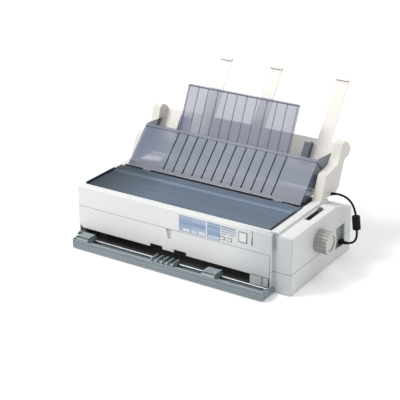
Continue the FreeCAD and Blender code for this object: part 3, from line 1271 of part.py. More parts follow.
def cable_wire(points):
    """Straight runs joined by tangent arcs, each as large as its two runs allow."""
    corners = [FreeCAD.Vector(*point) for point in points]
    edges = []
    last = corners[0]
    for before, corner, after in zip(corners, corners[1:], corners[2:]):
        incoming = corner - before
        outgoing = after - corner
        turn = incoming.getAngle(outgoing)
        reach = CORNER_SHARE * min(incoming.Length, outgoing.Length)
        start = corner - incoming.normalize() * reach
        end = corner + outgoing.normalize() * reach
        radius = reach / math.tan(turn / 2)
        print(f"cable turn {math.degrees(turn):5.1f} degrees, radius {radius:6.1f} mm")
        inward = (start + end) * 0.5 - corner
        bulge = radius / math.cos(turn / 2) - radius
        crest = corner + inward.normalize() * bulge
        edges.append(Part.LineSegment(last, start).toShape())
        edges.append(Part.Arc(start, crest, end).toShape())
        last = end
    edges.append(Part.LineSegment(last, corners[-1]).toShape())
    return Part.Wire(edges)


def feeder_cable():
    wire = cable_wire(CABLE_ROUTE)
    start = FreeCAD.Vector(*CABLE_ROUTE[0])
    heading = (FreeCAD.Vector(*CABLE_ROUTE[1]) - start).normalize()
    radius = d.cable_width.value / 2
    section = Part.Wire(Part.makeCircle(radius, start, heading))
    tube = wire.makePipeShell([section], True, False)
    print(f"cable length {wire.Length:.1f}, volume {tube.Volume:.0f} against "
          f"{wire.Length * math.pi * radius ** 2:.0f}")
    feature("feeder_cable", tube)


def ferrite_core():
    top = FreeCAD.Vector(*CABLE_ROUTE[6])
    bottom = FreeCAD.Vector(*CABLE_ROUTE[7])
    heading = (bottom - top).normalize()
    centre = (top + bottom) * 0.5
    start = centre - heading * (d.core_length.value / 2)
    body = Part.makeCylinder(d.core_radius.value, d.core_length.value, start, heading)
    rims = [edge for edge in body.Edges if edge.Closed]
    body = body.makeFillet(d.core_radius.value / 5, rims)
    bore = Part.makeCylinder(d.cable_width.value / 2, d.core_length.value, start, heading)
    feature("ferrite_core", body.cut(bore))


def cable_plug():
    """Moulded plug in the side socket, with its tapered tail round the cable's end."""
    body = new_body("cable_plug")
    face = right - d.recess_deep + d.socket_depth
    tail = as_length(CABLE_ROUTE[-1][0])
    grip = tail - d.plug_tail
    half_width = d.socket_width / 2 - d.case_wall / 2
    half_height = d.socket_height / 2 - d.case_wall / 4
    add(body, "YZ", [rectangle(socket_middle - half_width, d.socket_up - half_height,
                               socket_middle + half_width, d.socket_up + half_height)], face, grip)
    soften(body, d.plug_round, lambda box: box.XLength > float(d.plug_round))
    add(body, "YZ", [circle(socket_middle, d.socket_up, d.cable_width * 0.8)], grip, tail)


lower_case()
rubber_feet()
upper_case()
panel_face()
panel_keys()
front_cover()
hood()
hinge_pin()
sheet_guide()
stacker()
feeder_frames()
hopper_plate()
feeder_beams()
pick_shaft()
pick_rollers()
paper_supports()
edge_guides()
feed_gears()
chassis_plates()
feed_motor()
platen()
platen_knob()
carriage_rails()
print_carriage()
ribbon_cartridge()
ribbon_knob()
belt_drive()
paper_pan()
main_board()
power_unit()
power_inlet()
power_rocker()
feeder_socket()
release_lever()
tractor_frame()
tractors()
feeder_cable()
ferrite_core()
cable_plug()


def check_document():
    doc.recompute()
    for item in doc.Objects:
        if "Invalid" in item.State or "Error" in item.State:
            raise RuntimeError(f"{item.Name} of {item.Label} did not build")
    for before, after in CUTS:
        if not after.Shape.Volume < before.Shape.Volume:
            raise RuntimeError(f"{after.Name} cuts nothing")
    for piece in PIECES:
        if piece.Shape.isNull() or not piece.Shape.isValid():
            raise RuntimeError(f"{piece.Label} is not a valid shape")


check_document()
os.makedirs("parts", exist_ok=True)
for piece in PIECES:
    piece.Shape.exportStep(f"parts/{piece.Label}.step")
    box = piece.Shape.BoundBox
    print(f"{piece.Label:22s} solids {len(piece.Shape.Solids)}  x {box.XMin:7.1f} {box.XMax:7.1f}  "
          f"y {box.YMin:7.1f} {box.YMax:7.1f}  z {box.ZMin:6.1f} {box.ZMax:6.1f}")
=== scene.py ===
import math

import bpy
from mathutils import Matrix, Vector


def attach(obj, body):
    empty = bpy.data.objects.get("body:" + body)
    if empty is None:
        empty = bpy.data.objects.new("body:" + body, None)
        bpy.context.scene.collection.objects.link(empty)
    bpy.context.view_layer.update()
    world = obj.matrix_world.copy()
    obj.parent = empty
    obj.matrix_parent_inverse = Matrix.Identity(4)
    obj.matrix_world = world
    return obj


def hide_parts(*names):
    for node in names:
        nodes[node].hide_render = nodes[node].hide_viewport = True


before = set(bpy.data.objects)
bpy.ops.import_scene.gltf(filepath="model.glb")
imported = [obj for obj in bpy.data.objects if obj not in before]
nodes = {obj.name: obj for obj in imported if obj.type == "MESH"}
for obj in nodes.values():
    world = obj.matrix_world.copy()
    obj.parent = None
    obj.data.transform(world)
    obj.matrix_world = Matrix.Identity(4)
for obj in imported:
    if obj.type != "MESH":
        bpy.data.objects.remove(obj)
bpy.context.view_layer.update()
print("frame loaded:", len(nodes), "nodes")

# The part's frame lies this far from the front face and the middle of the case.
caseMiddle = -0.017
caseFront = -0.205734


def fromCase(x, y, z):  # millimetres on the case, to metres in the part's frame
    return Vector((x / 1000 + caseMiddle, y / 1000 + caseFront, z / 1000))


def tone(red, green, blue, alpha=1.0):  # a colour as a picture editor shows it, made linear
    made = [c / 255 / 12.92 if c < 11 else ((c / 255 + 0.055) / 1.055) ** 2.4 for c in (red, green, blue)]
    return (*made, alpha)


# Small steps that the materials are built from.

def feed(tree, value, socket):  # links a socket's value, or sets a plain one
    if hasattr(value, "links"):
        tree.links.new(value, socket)
    else:
        socket.default_value = value


def mathNode(tree, operation, *values):
    node = tree.nodes.new("ShaderNodeMath")
    node.operation = operation
    for value, socket in zip(values, node.inputs):
        feed(tree, value, socket)
    return node.outputs[0]


def product(tree, first, *others):
    for other in others:
        first = mathNode(tree, "MULTIPLY", first, other)
    return first


def distance(tree, value, place):
    return mathNode(tree, "ABSOLUTE", mathNode(tree, "SUBTRACT", value, place))


def within(tree, value, low, high):
    return product(tree, mathNode(tree, "GREATER_THAN", value, low), mathNode(tree, "LESS_THAN", value, high))


def vectorMath(tree, operation, first, second):
    node = tree.nodes.new("ShaderNodeVectorMath")
    node.operation = operation
    tree.links.new(first, node.inputs[0])
    tree.links.new(second, node.inputs[1])
    return node.outputs


def objectPlace(tree):
    return tree.nodes.new("ShaderNodeTexCoord").outputs["Object"]


def surface(tree, fact):
    return tree.nodes.new("ShaderNodeNewGeometry").outputs[fact]


def separate(tree, vector):
    split = tree.nodes.new("ShaderNodeSeparateXYZ")
    tree.links.new(vector, split.inputs[0])
    return split.outputs


def ramp(tree, value, start, end, kind="LINEAR"):  # rises from nothing at start to one at end
    node = tree.nodes.new("ShaderNodeMapRange")
    node.interpolation_type = kind
    node.inputs["From Min"].default_value = start
    node.inputs["From Max"].default_value = end
    tree.links.new(value, node.inputs["Value"])
    return node.outputs["Result"]


def mixColours(tree, mask, under, over):
    blend = tree.nodes.new("ShaderNodeMix")
    blend.data_type = "RGBA"
    feed(tree, mask, blend.inputs["Factor"])
    feed(tree, under, blend.inputs["A"])
    feed(tree, over, blend.inputs["B"])
    return blend.outputs["Result"]


def noiseNode(tree, coordinates, scale, detail=3.0, roughness=0.55):
    node = tree.nodes.new("ShaderNodeTexNoise")
    tree.links.new(coordinates, node.inputs["Vector"])
    feed(tree, scale, node.inputs["Scale"])
    node.inputs["Detail"].default_value = detail
    node.inputs["Roughness"].default_value = roughness
    return node.outputs["Fac"]


# Effects that several materials share, as node groups.

def newGroup(name, inputs, outputs):
    group = bpy.data.node_groups.new(name, "ShaderNodeTree")
    for label, value in inputs.items():
        size = len(value) if isinstance(value, tuple) else 1
        kind = {1: "NodeSocketFloat", 3: "NodeSocketVector", 4: "NodeSocketColor"}[size]
        group.interface.new_socket(label, in_out="INPUT", socket_type=kind).default_value = value
    for label in outputs:
        kind = "NodeSocketColor" if label == "Colour" else "NodeSocketFloat"
        group.interface.new_socket(label, in_out="OUTPUT", socket_type=kind)
    given = group.nodes.new("NodeGroupInput").outputs
    made = group.nodes.new("NodeGroupOutput").inputs
    return group, given, made


def makeMouldedGrain():
    # spark-eroded grain of the moulding, slow unevenness of the colour, and uneven gloss
    group, given, made = newGroup(
        "mouldedGrain",
        {"Colour": (0.8, 0.8, 0.8, 1), "Second colour": (0.7, 0.7, 0.7, 1), "Grain scale": 1400.0,
         "Cloud scale": 9.0, "Gloss": 0.45, "Gloss change": 0.1},
        ["Colour", "Roughness", "Height"])
    place = objectPlace(group)
    fine = noiseNode(group, place, given["Grain scale"], detail=2.0)
    cloud = noiseNode(group, place, given["Cloud scale"], detail=4.0)
    group.links.new(mixColours(group, cloud, given["Colour"], given["Second colour"]), made["Colour"])
    change = product(group, mathNode(group, "SUBTRACT", fine, 0.5), given["Gloss change"])
    group.links.new(mathNode(group, "ADD", given["Gloss"], change), made["Roughness"])
    group.links.new(fine, made["Height"])
    return group


def makeDustFall():
    # dust that lies on faces that look up, thicker in patches
    group, given, made = newGroup(
        "dustFall", {"Colour": (0.8, 0.8, 0.8, 1), "Dust": (0.7, 0.68, 0.64, 1), "Amount": 0.1}, ["Colour"])
    upward = mathNode(group, "MAXIMUM", separate(group, surface(group, "Normal"))["Z"], 0.0)
    patch = noiseNode(group, objectPlace(group), 14.0, detail=6.0, roughness=0.7)
    mask = product(group, upward, patch, given["Amount"])
    group.links.new(mixColours(group, mask, given["Colour"], given["Dust"]), made["Colour"])
    return group


def makeDrawnLines():
    # lines left along one axis by grinding, drawing or rolling
    group, given, made = newGroup("drawnLines", {"Stretch": (1.0, 40.0, 40.0), "Scale": 60.0}, ["Lines"])
    stretched = vectorMath(group, "MULTIPLY", objectPlace(group), given["Stretch"])
    group.links.new(noiseNode(group, stretched["Vector"], given["Scale"]), made["Lines"])
    return group


def makeFieldMask():
    # one inside a rectangle of the case's front, nought outside
    group, given, made = newGroup(
        "fieldMask", {"Left": 0.0, "Right": 0.1, "Bottom": 0.0, "Top": 0.1}, ["Mask"])
    place = separate(group, objectPlace(group))
    across = within(group, place["X"], given["Left"], given["Right"])
    group.links.new(product(group, across, within(group, place["Z"], given["Bottom"], given["Top"])),
                    made["Mask"])
    return group


def makeSeamLine():
    # one within half a width of a place on one axis
    group, given, made = newGroup(
        "seamLine", {"Along": (0.0, 0.0, 1.0), "Place": 0.0, "Half width": 0.0004}, ["Mask"])
    along = vectorMath(group, "DOT_PRODUCT", objectPlace(group), given["Along"])["Value"]
    away = distance(group, along, given["Place"])
    group.links.new(mathNode(group, "LESS_THAN", away, given["Half width"]), made["Mask"])
    return group


def makeEdgeFaces():
    # narrow faces of a clear sheet: those that look along its own slant or sideways
    group, given, made = newGroup(
        "edgeFaces", {"Slant": (0.0, 0.7, 0.7), "Left": -1.0, "Right": 1.0}, ["Mask"])
    between = within(group, separate(group, objectPlace(group))["X"], given["Left"], given["Right"])
    normal = surface(group, "Normal")
    ends = mathNode(group, "ABSOLUTE", vectorMath(group, "DOT_PRODUCT", normal, given["Slant"])["Value"])
    sides = product(group, mathNode(group, "ABSOLUTE", separate(group, normal)["X"]), between)
    group.links.new(ramp(group, mathNode(group, "MAXIMUM", ends, sides), 0.45, 0.85), made["Mask"])
    return group


mouldedGrain = makeMouldedGrain()
dustFall = makeDustFall()
drawnLines = makeDrawnLines()
fieldMask = makeFieldMask()
seamLine = makeSeamLine()
edgeFaces = makeEdgeFaces()
finishes = {}


def placeGroup(tree, group, **values):
    node = tree.nodes.new("ShaderNodeGroup")
    node.node_tree = group
    for label, value in values.items():
        feed(tree, value, node.inputs[label.replace("_", " ")])
    return node.outputs


def openMaterial(name):
    tree = finishes[name].node_tree
    return tree, tree.nodes["Principled BSDF"]


def newMaterial(name):
    finishes[name] = bpy.data.materials.new(name)
    finishes[name].use_nodes = True
    return openMaterial(name)


def bumpInto(tree, shader, height, strength, depth):
    bump = tree.nodes.new("ShaderNodeBump")
    bump.inputs["Strength"].default_value = strength
    bump.inputs["Distance"].default_value = depth
    tree.links.new(height, bump.inputs["Height"])
    tree.links.new(bump.outputs["Normal"], shader.inputs["Normal"])


def shade(tree, shader, mask, colour, amount=1.0):
    # lays a colour over the base colour where the mask is one
    under = shader.inputs["Base Color"].links[0].from_socket
    tree.links.new(mixColours(tree, product(tree, mask, amount), under, colour), shader.inputs["Base Color"])


plastics = {
    "casePlastic": dict(colour=tone(230, 231, 230), second=tone(224, 226, 225), gloss=0.42, grain=1500.0,
                        bump=0.10, dust=0.06, specular=0.45),
    "feederCream": dict(colour=tone(229, 226, 220), second=tone(222, 218, 210), gloss=0.38, grain=1500.0,
                        bump=0.08, dust=0.05, specular=0.45),
    "knobCream": dict(colour=tone(218, 218, 213), second=tone(210, 209, 204), gloss=0.4, grain=1500.0,
                      bump=0.10, dust=0.08, specular=0.45),
    "tractorGrey": dict(colour=tone(138, 150, 156), second=tone(120, 133, 139), gloss=0.34, grain=1200.0,
                        bump=0.12, dust=0.15, specular=0.5),
    "gearPlastic": dict(colour=tone(62, 66, 68), second=tone(48, 51, 53), gloss=0.4, grain=900.0,
                        bump=0.08, dust=0.20, specular=0.4),
    "blackPlastic": dict(colour=tone(9, 9, 10), second=tone(6, 6, 7), gloss=0.5, grain=1300.0,
                         bump=0.12, dust=0.02, specular=0.18),
    "keyWhite": dict(colour=tone(232, 233, 232), second=tone(224, 225, 225), gloss=0.35, grain=1500.0,
                     bump=0.06, dust=0.03, specular=0.5),
    "inletBlack": dict(colour=tone(34, 34, 36), second=tone(24, 24, 26), gloss=0.3, grain=1500.0,
                       bump=0.06, dust=0.1, specular=0.5),
    "blackRubber": dict(colour=tone(12, 12, 13), second=tone(8, 8, 9), gloss=0.6, grain=700.0,
                        bump=0.15, dust=0.03, specular=0.2),
    "socketGrey": dict(colour=tone(164, 172, 174), second=tone(150, 160, 163), gloss=0.45, grain=1300.0,
                       bump=0.08, dust=0.1, specular=0.45),
    "blackedSheet": dict(colour=tone(33, 34, 36), second=tone(26, 27, 29), gloss=0.5, grain=800.0,
                         bump=0.08, dust=0.25, specular=0.4),
    "paintedRecessShade": dict(colour=tone(112, 116, 120), second=tone(96, 100, 104), gloss=0.4, grain=1500.0,
                         bump=0.05, dust=0.05, specular=0.4),
    "platenRubber": dict(colour=tone(46, 47, 50), second=tone(34, 35, 38), gloss=0.55, grain=600.0,
                         bump=0.12, dust=0.1, specular=0.35),
}
grainDepth = 0.0004
for name, look in plastics.items():
    tree, shader = newMaterial(name)
    grain = placeGroup(tree, mouldedGrain, Colour=look["colour"], Second_colour=look["second"],
                       Grain_scale=look["grain"], Gloss=look["gloss"])
    dust = placeGroup(tree, dustFall, Colour=grain["Colour"], Amount=look["dust"])
    tree.links.new(dust["Colour"], shader.inputs["Base Color"])
    tree.links.new(grain["Roughness"], shader.inputs["Roughness"])
    shader.inputs["Specular IOR Level"].default_value = look["specular"]
    bumpInto(tree, shader, grain["Height"], look["bump"], grainDepth)

# Clear and smoked sheets. The slant is the way that each one rises. Faces that look sideways count as
# edges only between two places along X, which leaves the side walls clear.
smoked = {
    "hoodSmoke": dict(colour=tone(36, 52, 65), second=tone(28, 43, 56), edge=tone(24, 30, 38), alpha=0.95,
                      edgeAlpha=1.0, slant=(0.0, 1.0, 0.0), between=(-1.0, 1.0), gloss=0.22,
                      specular=0.12),
    "guideSmoke": dict(colour=tone(92, 102, 126), second=tone(78, 90, 114), edge=tone(44, 52, 70),
                       alpha=0.80, edgeAlpha=0.92, slant=(0.0, 0.7071, 0.7071),
                       between=(-0.2824, 0.2044), gloss=0.24, specular=0.25),
    "stackerClear": dict(colour=tone(138, 142, 160), second=tone(124, 129, 149), edge=tone(84, 88, 104),
                         alpha=0.72, edgeAlpha=0.95, slant=(0.0, 0.36, 0.93), between=(-1.0, 1.0),
                         gloss=0.28, specular=0.35),
}
sheetSkin = dict(grain=900.0, clouds=6.0, glossChange=0.05, dust=0.04, bump=0.03, glance=0.35,
                 denser=0.35, coat=0.05, coatRoughness=0.1)


def nearSide(tree):  # a ray meets only the near side of each sheet
    return mathNode(tree, "SUBTRACT", 1.0, surface(tree, "Backfacing"))


def makeSmoked(name, look):
    tree, shader = newMaterial(name)
    grain = placeGroup(tree, mouldedGrain, Colour=look["colour"], Second_colour=look["second"],
                       Grain_scale=sheetSkin["grain"], Cloud_scale=sheetSkin["clouds"],
                       Gloss=look["gloss"], Gloss_change=sheetSkin["glossChange"])
    left, right = look["between"]
    edges = placeGroup(tree, edgeFaces, Slant=look["slant"], Left=left, Right=right)["Mask"]
    colour = mixColours(tree, edges, grain["Colour"], look["edge"])
    dust = placeGroup(tree, dustFall, Colour=colour, Amount=sheetSkin["dust"])
    tree.links.new(dust["Colour"], shader.inputs["Base Color"])
    tree.links.new(grain["Roughness"], shader.inputs["Roughness"])
    # more of the sheet is met at a glancing angle
    glance = tree.nodes.new("ShaderNodeLayerWeight")
    glance.inputs["Blend"].default_value = sheetSkin["glance"]
    alpha = look["alpha"]
    dense = mathNode(tree, "MULTIPLY_ADD", glance.outputs["Facing"], (1 - alpha) * sheetSkin["denser"], alpha)
    edged = mathNode(tree, "MULTIPLY_ADD", edges, look["edgeAlpha"] - alpha, dense)
    tree.links.new(product(tree, mathNode(tree, "MINIMUM", edged, 1.0), nearSide(tree)),
                   shader.inputs["Alpha"])
    shader.inputs["Specular IOR Level"].default_value = look["specular"]
    shader.inputs["Coat Weight"].default_value = sheetSkin["coat"]
    shader.inputs["Coat Roughness"].default_value = sheetSkin["coatRoughness"]
    bumpInto(tree, shader, grain["Height"], sheetSkin["bump"], grainDepth)


for name, look in smoked.items():
    makeSmoked(name, look)

# Painted light on the hood: a painted reflection band that mirrors the guide, fine painted highlight streaks,
# and a slow painted rise of light from the left.
hoodLight = dict(centre=-0.041, lip=0.2612, band=-0.0735, bandHalf=0.012, bandLift=0.42,
                 rise=(-0.30, -0.12), riseLift=0.48, atLeft=0.4, streaks=(0.46, 0.68), streakLift=0.08,
                 stretch=(0.25, 9.0, 9.0), scale=11.0, colour=tone(136, 152, 171))


def addHoodPaintedLight():
    tree, shader = openMaterial("hoodSmoke")
    place = separate(tree, objectPlace(tree))
    rise = ramp(tree, place["X"], *hoodLight["rise"])
    lines = placeGroup(tree, drawnLines, Stretch=hoodLight["stretch"], Scale=hoodLight["scale"])
    streaks = ramp(tree, lines["Lines"], *hoodLight["streaks"])
    band = ramp(tree, distance(tree, place["Y"], hoodLight["band"]), hoodLight["bandHalf"], 0.0)
    lift = mathNode(tree, "ADD", product(tree, band, hoodLight["bandLift"]),
                    product(tree, streaks, hoodLight["streakLift"]))
    lift = product(tree, lift, mathNode(tree, "MULTIPLY_ADD", rise, 1 - hoodLight["atLeft"],
                                        hoodLight["atLeft"]))
    lift = mathNode(tree, "ADD", lift, product(tree, rise, hoodLight["riseLift"]))
    # painted highlight: the band, the streaks and the rise are laid over the smoke colour
    shade(tree, shader, mathNode(tree, "MINIMUM", lift, 1.0), hoodLight["colour"])
    # the raised lips at both sides are painted darker: painted shade on the side walls
    lip = mathNode(tree, "GREATER_THAN", distance(tree, place["X"], hoodLight["centre"]), hoodLight["lip"])
    shade(tree, shader, lip, tone(28, 34, 42), 0.85)


def addPaintedEdgeShade(name, piece, half, which=max):
    # painted shade: a dark line along the far or the near edge of a clear sheet
    tree, shader = openMaterial(name)
    along = smoked[name]["slant"]
    # the side walls reach further than the sheet between them, so only its middle counts
    end = which(corner.co.dot(Vector(along)) for corner in nodes[piece].data.vertices
                if abs(corner.co.x - hoodLight["centre"]) < 0.1)
    line = placeGroup(tree, seamLine, Along=along, Place=end, Half_width=half)["Mask"]
    shade(tree, shader, line, smoked[name]["edge"], 0.9)
    alpha = shader.inputs["Alpha"].links[0].from_socket
    tree.links.new(mathNode(tree, "MAXIMUM", alpha, product(tree, line, nearSide(tree))),
                   shader.inputs["Alpha"])


addHoodPaintedLight()
# painted shade lines along the guide's top edge and its foot, and along the stacker's top edge
addPaintedEdgeShade("guideSmoke", "sheet_guide", 0.0022)
addPaintedEdgeShade("guideSmoke", "sheet_guide", 0.0060, min)
addPaintedEdgeShade("stackerClear", "stacker", 0.0016)

metals = {
    "groundSteel": dict(colour=tone(138, 142, 145), gloss=0.34, stretch=(1.0, 30.0, 30.0)),
    "zincSheet": dict(colour=tone(172, 175, 178), gloss=0.42, stretch=(12.0, 2.0, 12.0)),
}
metalSkin = dict(glossChange=0.16, bump=0.08, depth=0.0003)
for name, look in metals.items():
    tree, shader = newMaterial(name)
    lines = placeGroup(tree, drawnLines, Stretch=look["stretch"])["Lines"]
    shader.inputs["Base Color"].default_value = look["colour"]
    shader.inputs["Metallic"].default_value = 1.0
    change = mathNode(tree, "MULTIPLY_ADD", lines, metalSkin["glossChange"],
                      look["gloss"] - metalSkin["glossChange"] / 2)
    tree.links.new(change, shader.inputs["Roughness"])
    bumpInto(tree, shader, lines, metalSkin["bump"], metalSkin["depth"])

board = dict(tracks=110.0, trackEdge=0.42, chipFoot=0.0158, roughness=0.35)


def makeBoardLacquer():
    # green lacquer with lighter tracks, and dark parts above it
    tree, shader = newMaterial("boardLacquer")
    tracks = tree.nodes.new("ShaderNodeTexVoronoi")
    tracks.distance = "MANHATTAN"
    tracks.inputs["Scale"].default_value = board["tracks"]
    place = objectPlace(tree)
    tree.links.new(place, tracks.inputs["Vector"])
    mask = mathNode(tree, "GREATER_THAN", tracks.outputs["Distance"], board["trackEdge"])
    tree.links.new(mixColours(tree, mask, tone(24, 84, 50), tone(50, 116, 72)), shader.inputs["Base Color"])
    chips = mathNode(tree, "GREATER_THAN", separate(tree, place)["Z"], board["chipFoot"])
    shade(tree, shader, chips, tone(30, 31, 33))
    shader.inputs["Roughness"].default_value = board["roughness"]


makeBoardLacquer()

# The label's printed fields, in millimetres on the case: left, right, bottom, top and colour.
labelFields = [
    (1, 38, 108, 140, tone(150, 166, 190)), (38, 76, 108, 140, tone(160, 178, 202)),
    (80, 116, 108, 140, tone(140, 158, 184)), (1, 76, 118, 127, tone(133, 154, 184)),
    (80, 116, 118, 127, tone(150, 170, 196)), (1, 116, 134, 136, tone(176, 188, 206)),
    (12, 30, 101, 108, tone(214, 220, 228)), (36, 52, 101, 107, tone(206, 214, 224)),
    (56, 74, 101, 109, tone(214, 220, 228)), (84, 112, 101, 107, tone(200, 209, 220)),
    (76.4, 79.2, 98, 140, tone(222, 228, 234)), (116, 160, 98, 140, tone(219, 223, 225)),
    (118, 158, 135, 138.5, tone(128, 142, 158)), (118, 158, 129, 132.6, tone(140, 166, 190)),
    (118, 158, 123.4, 126.6, tone(152, 170, 188)), (118, 134, 118.6, 120.4, tone(120, 126, 132)),
    (139, 154, 118.6, 120.4, tone(120, 126, 132)),
]
labelGround = tone(168, 180, 198)


def makePanelFilm():
    tree, shader = newMaterial("panelFilm")
    colour = labelGround
    for left, right, low, high, fieldColour in labelFields:
        start = fromCase(left, 0, low)
        stop = fromCase(right, 0, high)
        mask = placeGroup(tree, fieldMask, Left=start.x, Right=stop.x, Bottom=start.z, Top=stop.z)["Mask"]
        colour = mixColours(tree, mask, colour, fieldColour)
    tree.links.new(colour, shader.inputs["Base Color"])
    grain = placeGroup(tree, mouldedGrain, Grain_scale=1800.0, Gloss=0.28)
    tree.links.new(grain["Roughness"], shader.inputs["Roughness"])


makePanelFilm()
print("materials made:", len(finishes))

# Joints and painted shade on the mouldings of the case, in metres: faces by their Y, lines by their height,
# rectangles
# # of the front, and boxes by their three runs along X, Y and Z.
upright = (0.0, 0.0, 1.0)
caseJointsAndShade = dict(
    frontFace=-0.2028, blockFace=-0.1935, coverRight=0.2316, blockLeft=0.2336,
    paintedShadeRun=(0.11, 0.235), shadeCornerMiddle=0.2405, shadeCornerRun=(0.009, 0.001), shadeCornerRise=(0.098, 0.120),
    joint=dict(Along=upright, Place=0.054, Half_width=0.0007),
    coverTop=dict(Along=upright, Place=0.0951, Half_width=0.0006),
    besideCover=dict(Left=0.2312, Right=0.2326, Bottom=0.012, Top=0.0953),
    slit=dict(Left=0.18305, Right=0.18595, Bottom=0.108, Top=0.1265),
    slitTop=dict(Left=0.1837, Right=0.1853, Bottom=0.1265, Top=0.1445),
    tray=((-0.3135, 0.2315), (-0.2022, 0.111), (0.0045, 0.0535)),
    underGuideShade=((-0.3020, 0.2200), (-0.0290, -0.0200), (0.1400, 0.1492)))


def insideBox(tree, place, box):  # one inside a box, and nothing outside it
    return product(tree, *(within(tree, place[axis], *run) for axis, run in zip("XYZ", box)))


def addCaseJointsAndShade():
    tree, shader = openMaterial("casePlastic")
    place = separate(tree, objectPlace(tree))
    # painted shade: the front darkens a little towards the block, and most in the corner at the block's side,
    # where a painted shadow of the band's end falls
    facing = mathNode(tree, "LESS_THAN", place["Y"], caseJointsAndShade["blockFace"])
    towards = ramp(tree, place["X"], *caseJointsAndShade["paintedShadeRun"], kind="SMOOTHSTEP")
    shade(tree, shader, product(tree, towards, facing), tone(186, 193, 197), 0.8)
    aside = distance(tree, place["X"], caseJointsAndShade["shadeCornerMiddle"])
    corner = product(tree, ramp(tree, aside, *caseJointsAndShade["shadeCornerRun"], kind="SMOOTHSTEP"),
                     ramp(tree, place["Z"], *caseJointsAndShade["shadeCornerRise"], kind="SMOOTHSTEP"))
    shade(tree, shader, product(tree, corner, facing), tone(132, 143, 152), 0.6)
    # grime in the joints, where the cover's face is left out of the line between the two halves
    frontFace = mathNode(tree, "LESS_THAN", place["Y"], caseJointsAndShade["frontFace"])
    onCover = product(tree, frontFace, mathNode(tree, "LESS_THAN", place["X"], caseJointsAndShade["coverRight"]))
    joint = placeGroup(tree, seamLine, **caseJointsAndShade["joint"])["Mask"]
    shade(tree, shader, product(tree, joint, mathNode(tree, "SUBTRACT", 1.0, onCover)),
          tone(98, 103, 107), 0.85)
    coverTop = placeGroup(tree, seamLine, **caseJointsAndShade["coverTop"])["Mask"]
    leftPart = mathNode(tree, "LESS_THAN", place["X"], caseJointsAndShade["blockLeft"])
    shade(tree, shader, product(tree, coverTop, frontFace, leftPart), tone(112, 117, 121), 0.85)
    beside = placeGroup(tree, fieldMask, **caseJointsAndShade["besideCover"])["Mask"]
    shade(tree, shader, product(tree, beside, frontFace), tone(92, 98, 103), 0.85)
    # painted shade in and around the slit beside the panel
    slit = mathNode(tree, "MAXIMUM", placeGroup(tree, fieldMask, **caseJointsAndShade["slit"])["Mask"],
                    placeGroup(tree, fieldMask, **caseJointsAndShade["slitTop"])["Mask"])
    shade(tree, shader, product(tree, slit, frontFace), tone(96, 99, 102), 0.85)
    # painted shade: the inside of the tray, and the strip that the guide's foot covers, are painted dark
    # where shade falls
    shade(tree, shader, insideBox(tree, place, caseJointsAndShade["tray"]), tone(54, 56, 59), 0.9)
    shade(tree, shader, insideBox(tree, place, caseJointsAndShade["underGuideShade"]), tone(36, 42, 52), 0.92)


def addKnobPaintedShade():
    # painted shade: the fluted side of the knob is painted darker than its face, for the shade between the
    # flutes
    tree, shader = openMaterial("knobCream")
    sideways = mathNode(tree, "ABSOLUTE", separate(tree, surface(tree, "Normal"))["X"])
    shade(tree, shader, ramp(tree, sideways, 0.75, 0.35), tone(150, 152, 149), 0.8)


grooveShadeLines = dict(face=-0.2395, heights=(0.0095, 0.0165, 0.0215), half=0.00045)


def addTractorGrooveShade():
    # painted shade: dark lines for the grooves that run along the front of the tractor's tray
    tree, shader = openMaterial("tractorGrey")
    place = separate(tree, objectPlace(tree))
    outer = mathNode(tree, "LESS_THAN", place["Y"], grooveShadeLines["face"])
    for height in grooveShadeLines["heights"]:
        groove = placeGroup(tree, seamLine, Along=upright, Place=height, Half_width=grooveShadeLines["half"])
        shade(tree, shader, product(tree, groove["Mask"], outer), tone(74, 84, 90), 0.7)


addCaseJointsAndShade()
addKnobPaintedShade()
addTractorGrooveShade()

nodeFinish = {
    "lower_case": "casePlastic", "upper_case": "casePlastic", "front_cover": "casePlastic",
    "feeder_socket": "socketGrey", "rubber_feet": "blackRubber", "panel_face": "panelFilm",
    "hinge_pin": "blackedSheet", "feeder_frame_left": "feederCream", "feeder_frame_right": "feederCream",
    "hopper_plate": "feederCream", "feeder_beams": "groundSteel", "chassis_plate_left": "zincSheet",
    "chassis_plate_right": "zincSheet", "feed_motor": "zincSheet", "carriage_rails": "groundSteel",
    "ribbon_cartridge": "blackPlastic", "carriage_motor": "zincSheet", "timing_belt": "blackRubber",
    "paper_pan": "blackedSheet", "main_board": "boardLacquer", "power_unit": "zincSheet",
    "power_inlet": "inletBlack", "tractor_frame": "tractorGrey", "ferrite_core": "blackPlastic",
    "cable_plug": "blackPlastic", "hood": "hoodSmoke", "sheet_guide": "guideSmoke",
    "stacker": "stackerClear", "platen_roller": "platenRubber", "platen_shaft": "groundSteel",
    "platen_gear": "gearPlastic", "platen_knob": "knobCream", "feed_gear_upper": "gearPlastic",
    "feed_gear_lower": "gearPlastic", "feed_gear_front": "gearPlastic", "tractor_shaft": "groundSteel",
    "motor_pinion": "groundSteel", "carriage": "blackPlastic", "print_head": "zincSheet",
    "drive_pulley": "gearPlastic", "idler_pulley": "gearPlastic", "ribbon_knob": "blackPlastic",
    "release_lever": "gearPlastic", "panel_button_left": "keyWhite", "panel_button_right": "keyWhite",
    "online_button": "keyWhite", "paper_support_left": "feederCream",
    "paper_support_middle": "feederCream", "paper_support_right": "feederCream",
    "edge_guide_left": "stackerClear", "edge_guide_right": "stackerClear", "pick_shaft": "groundSteel",
    "pick_rollers": "blackRubber", "tractor_left": "tractorGrey", "tractor_right": "tractorGrey",
    "tractor_flap_left": "tractorGrey", "tractor_flap_right": "tractorGrey",
    "power_rocker": "inletBlack",
}
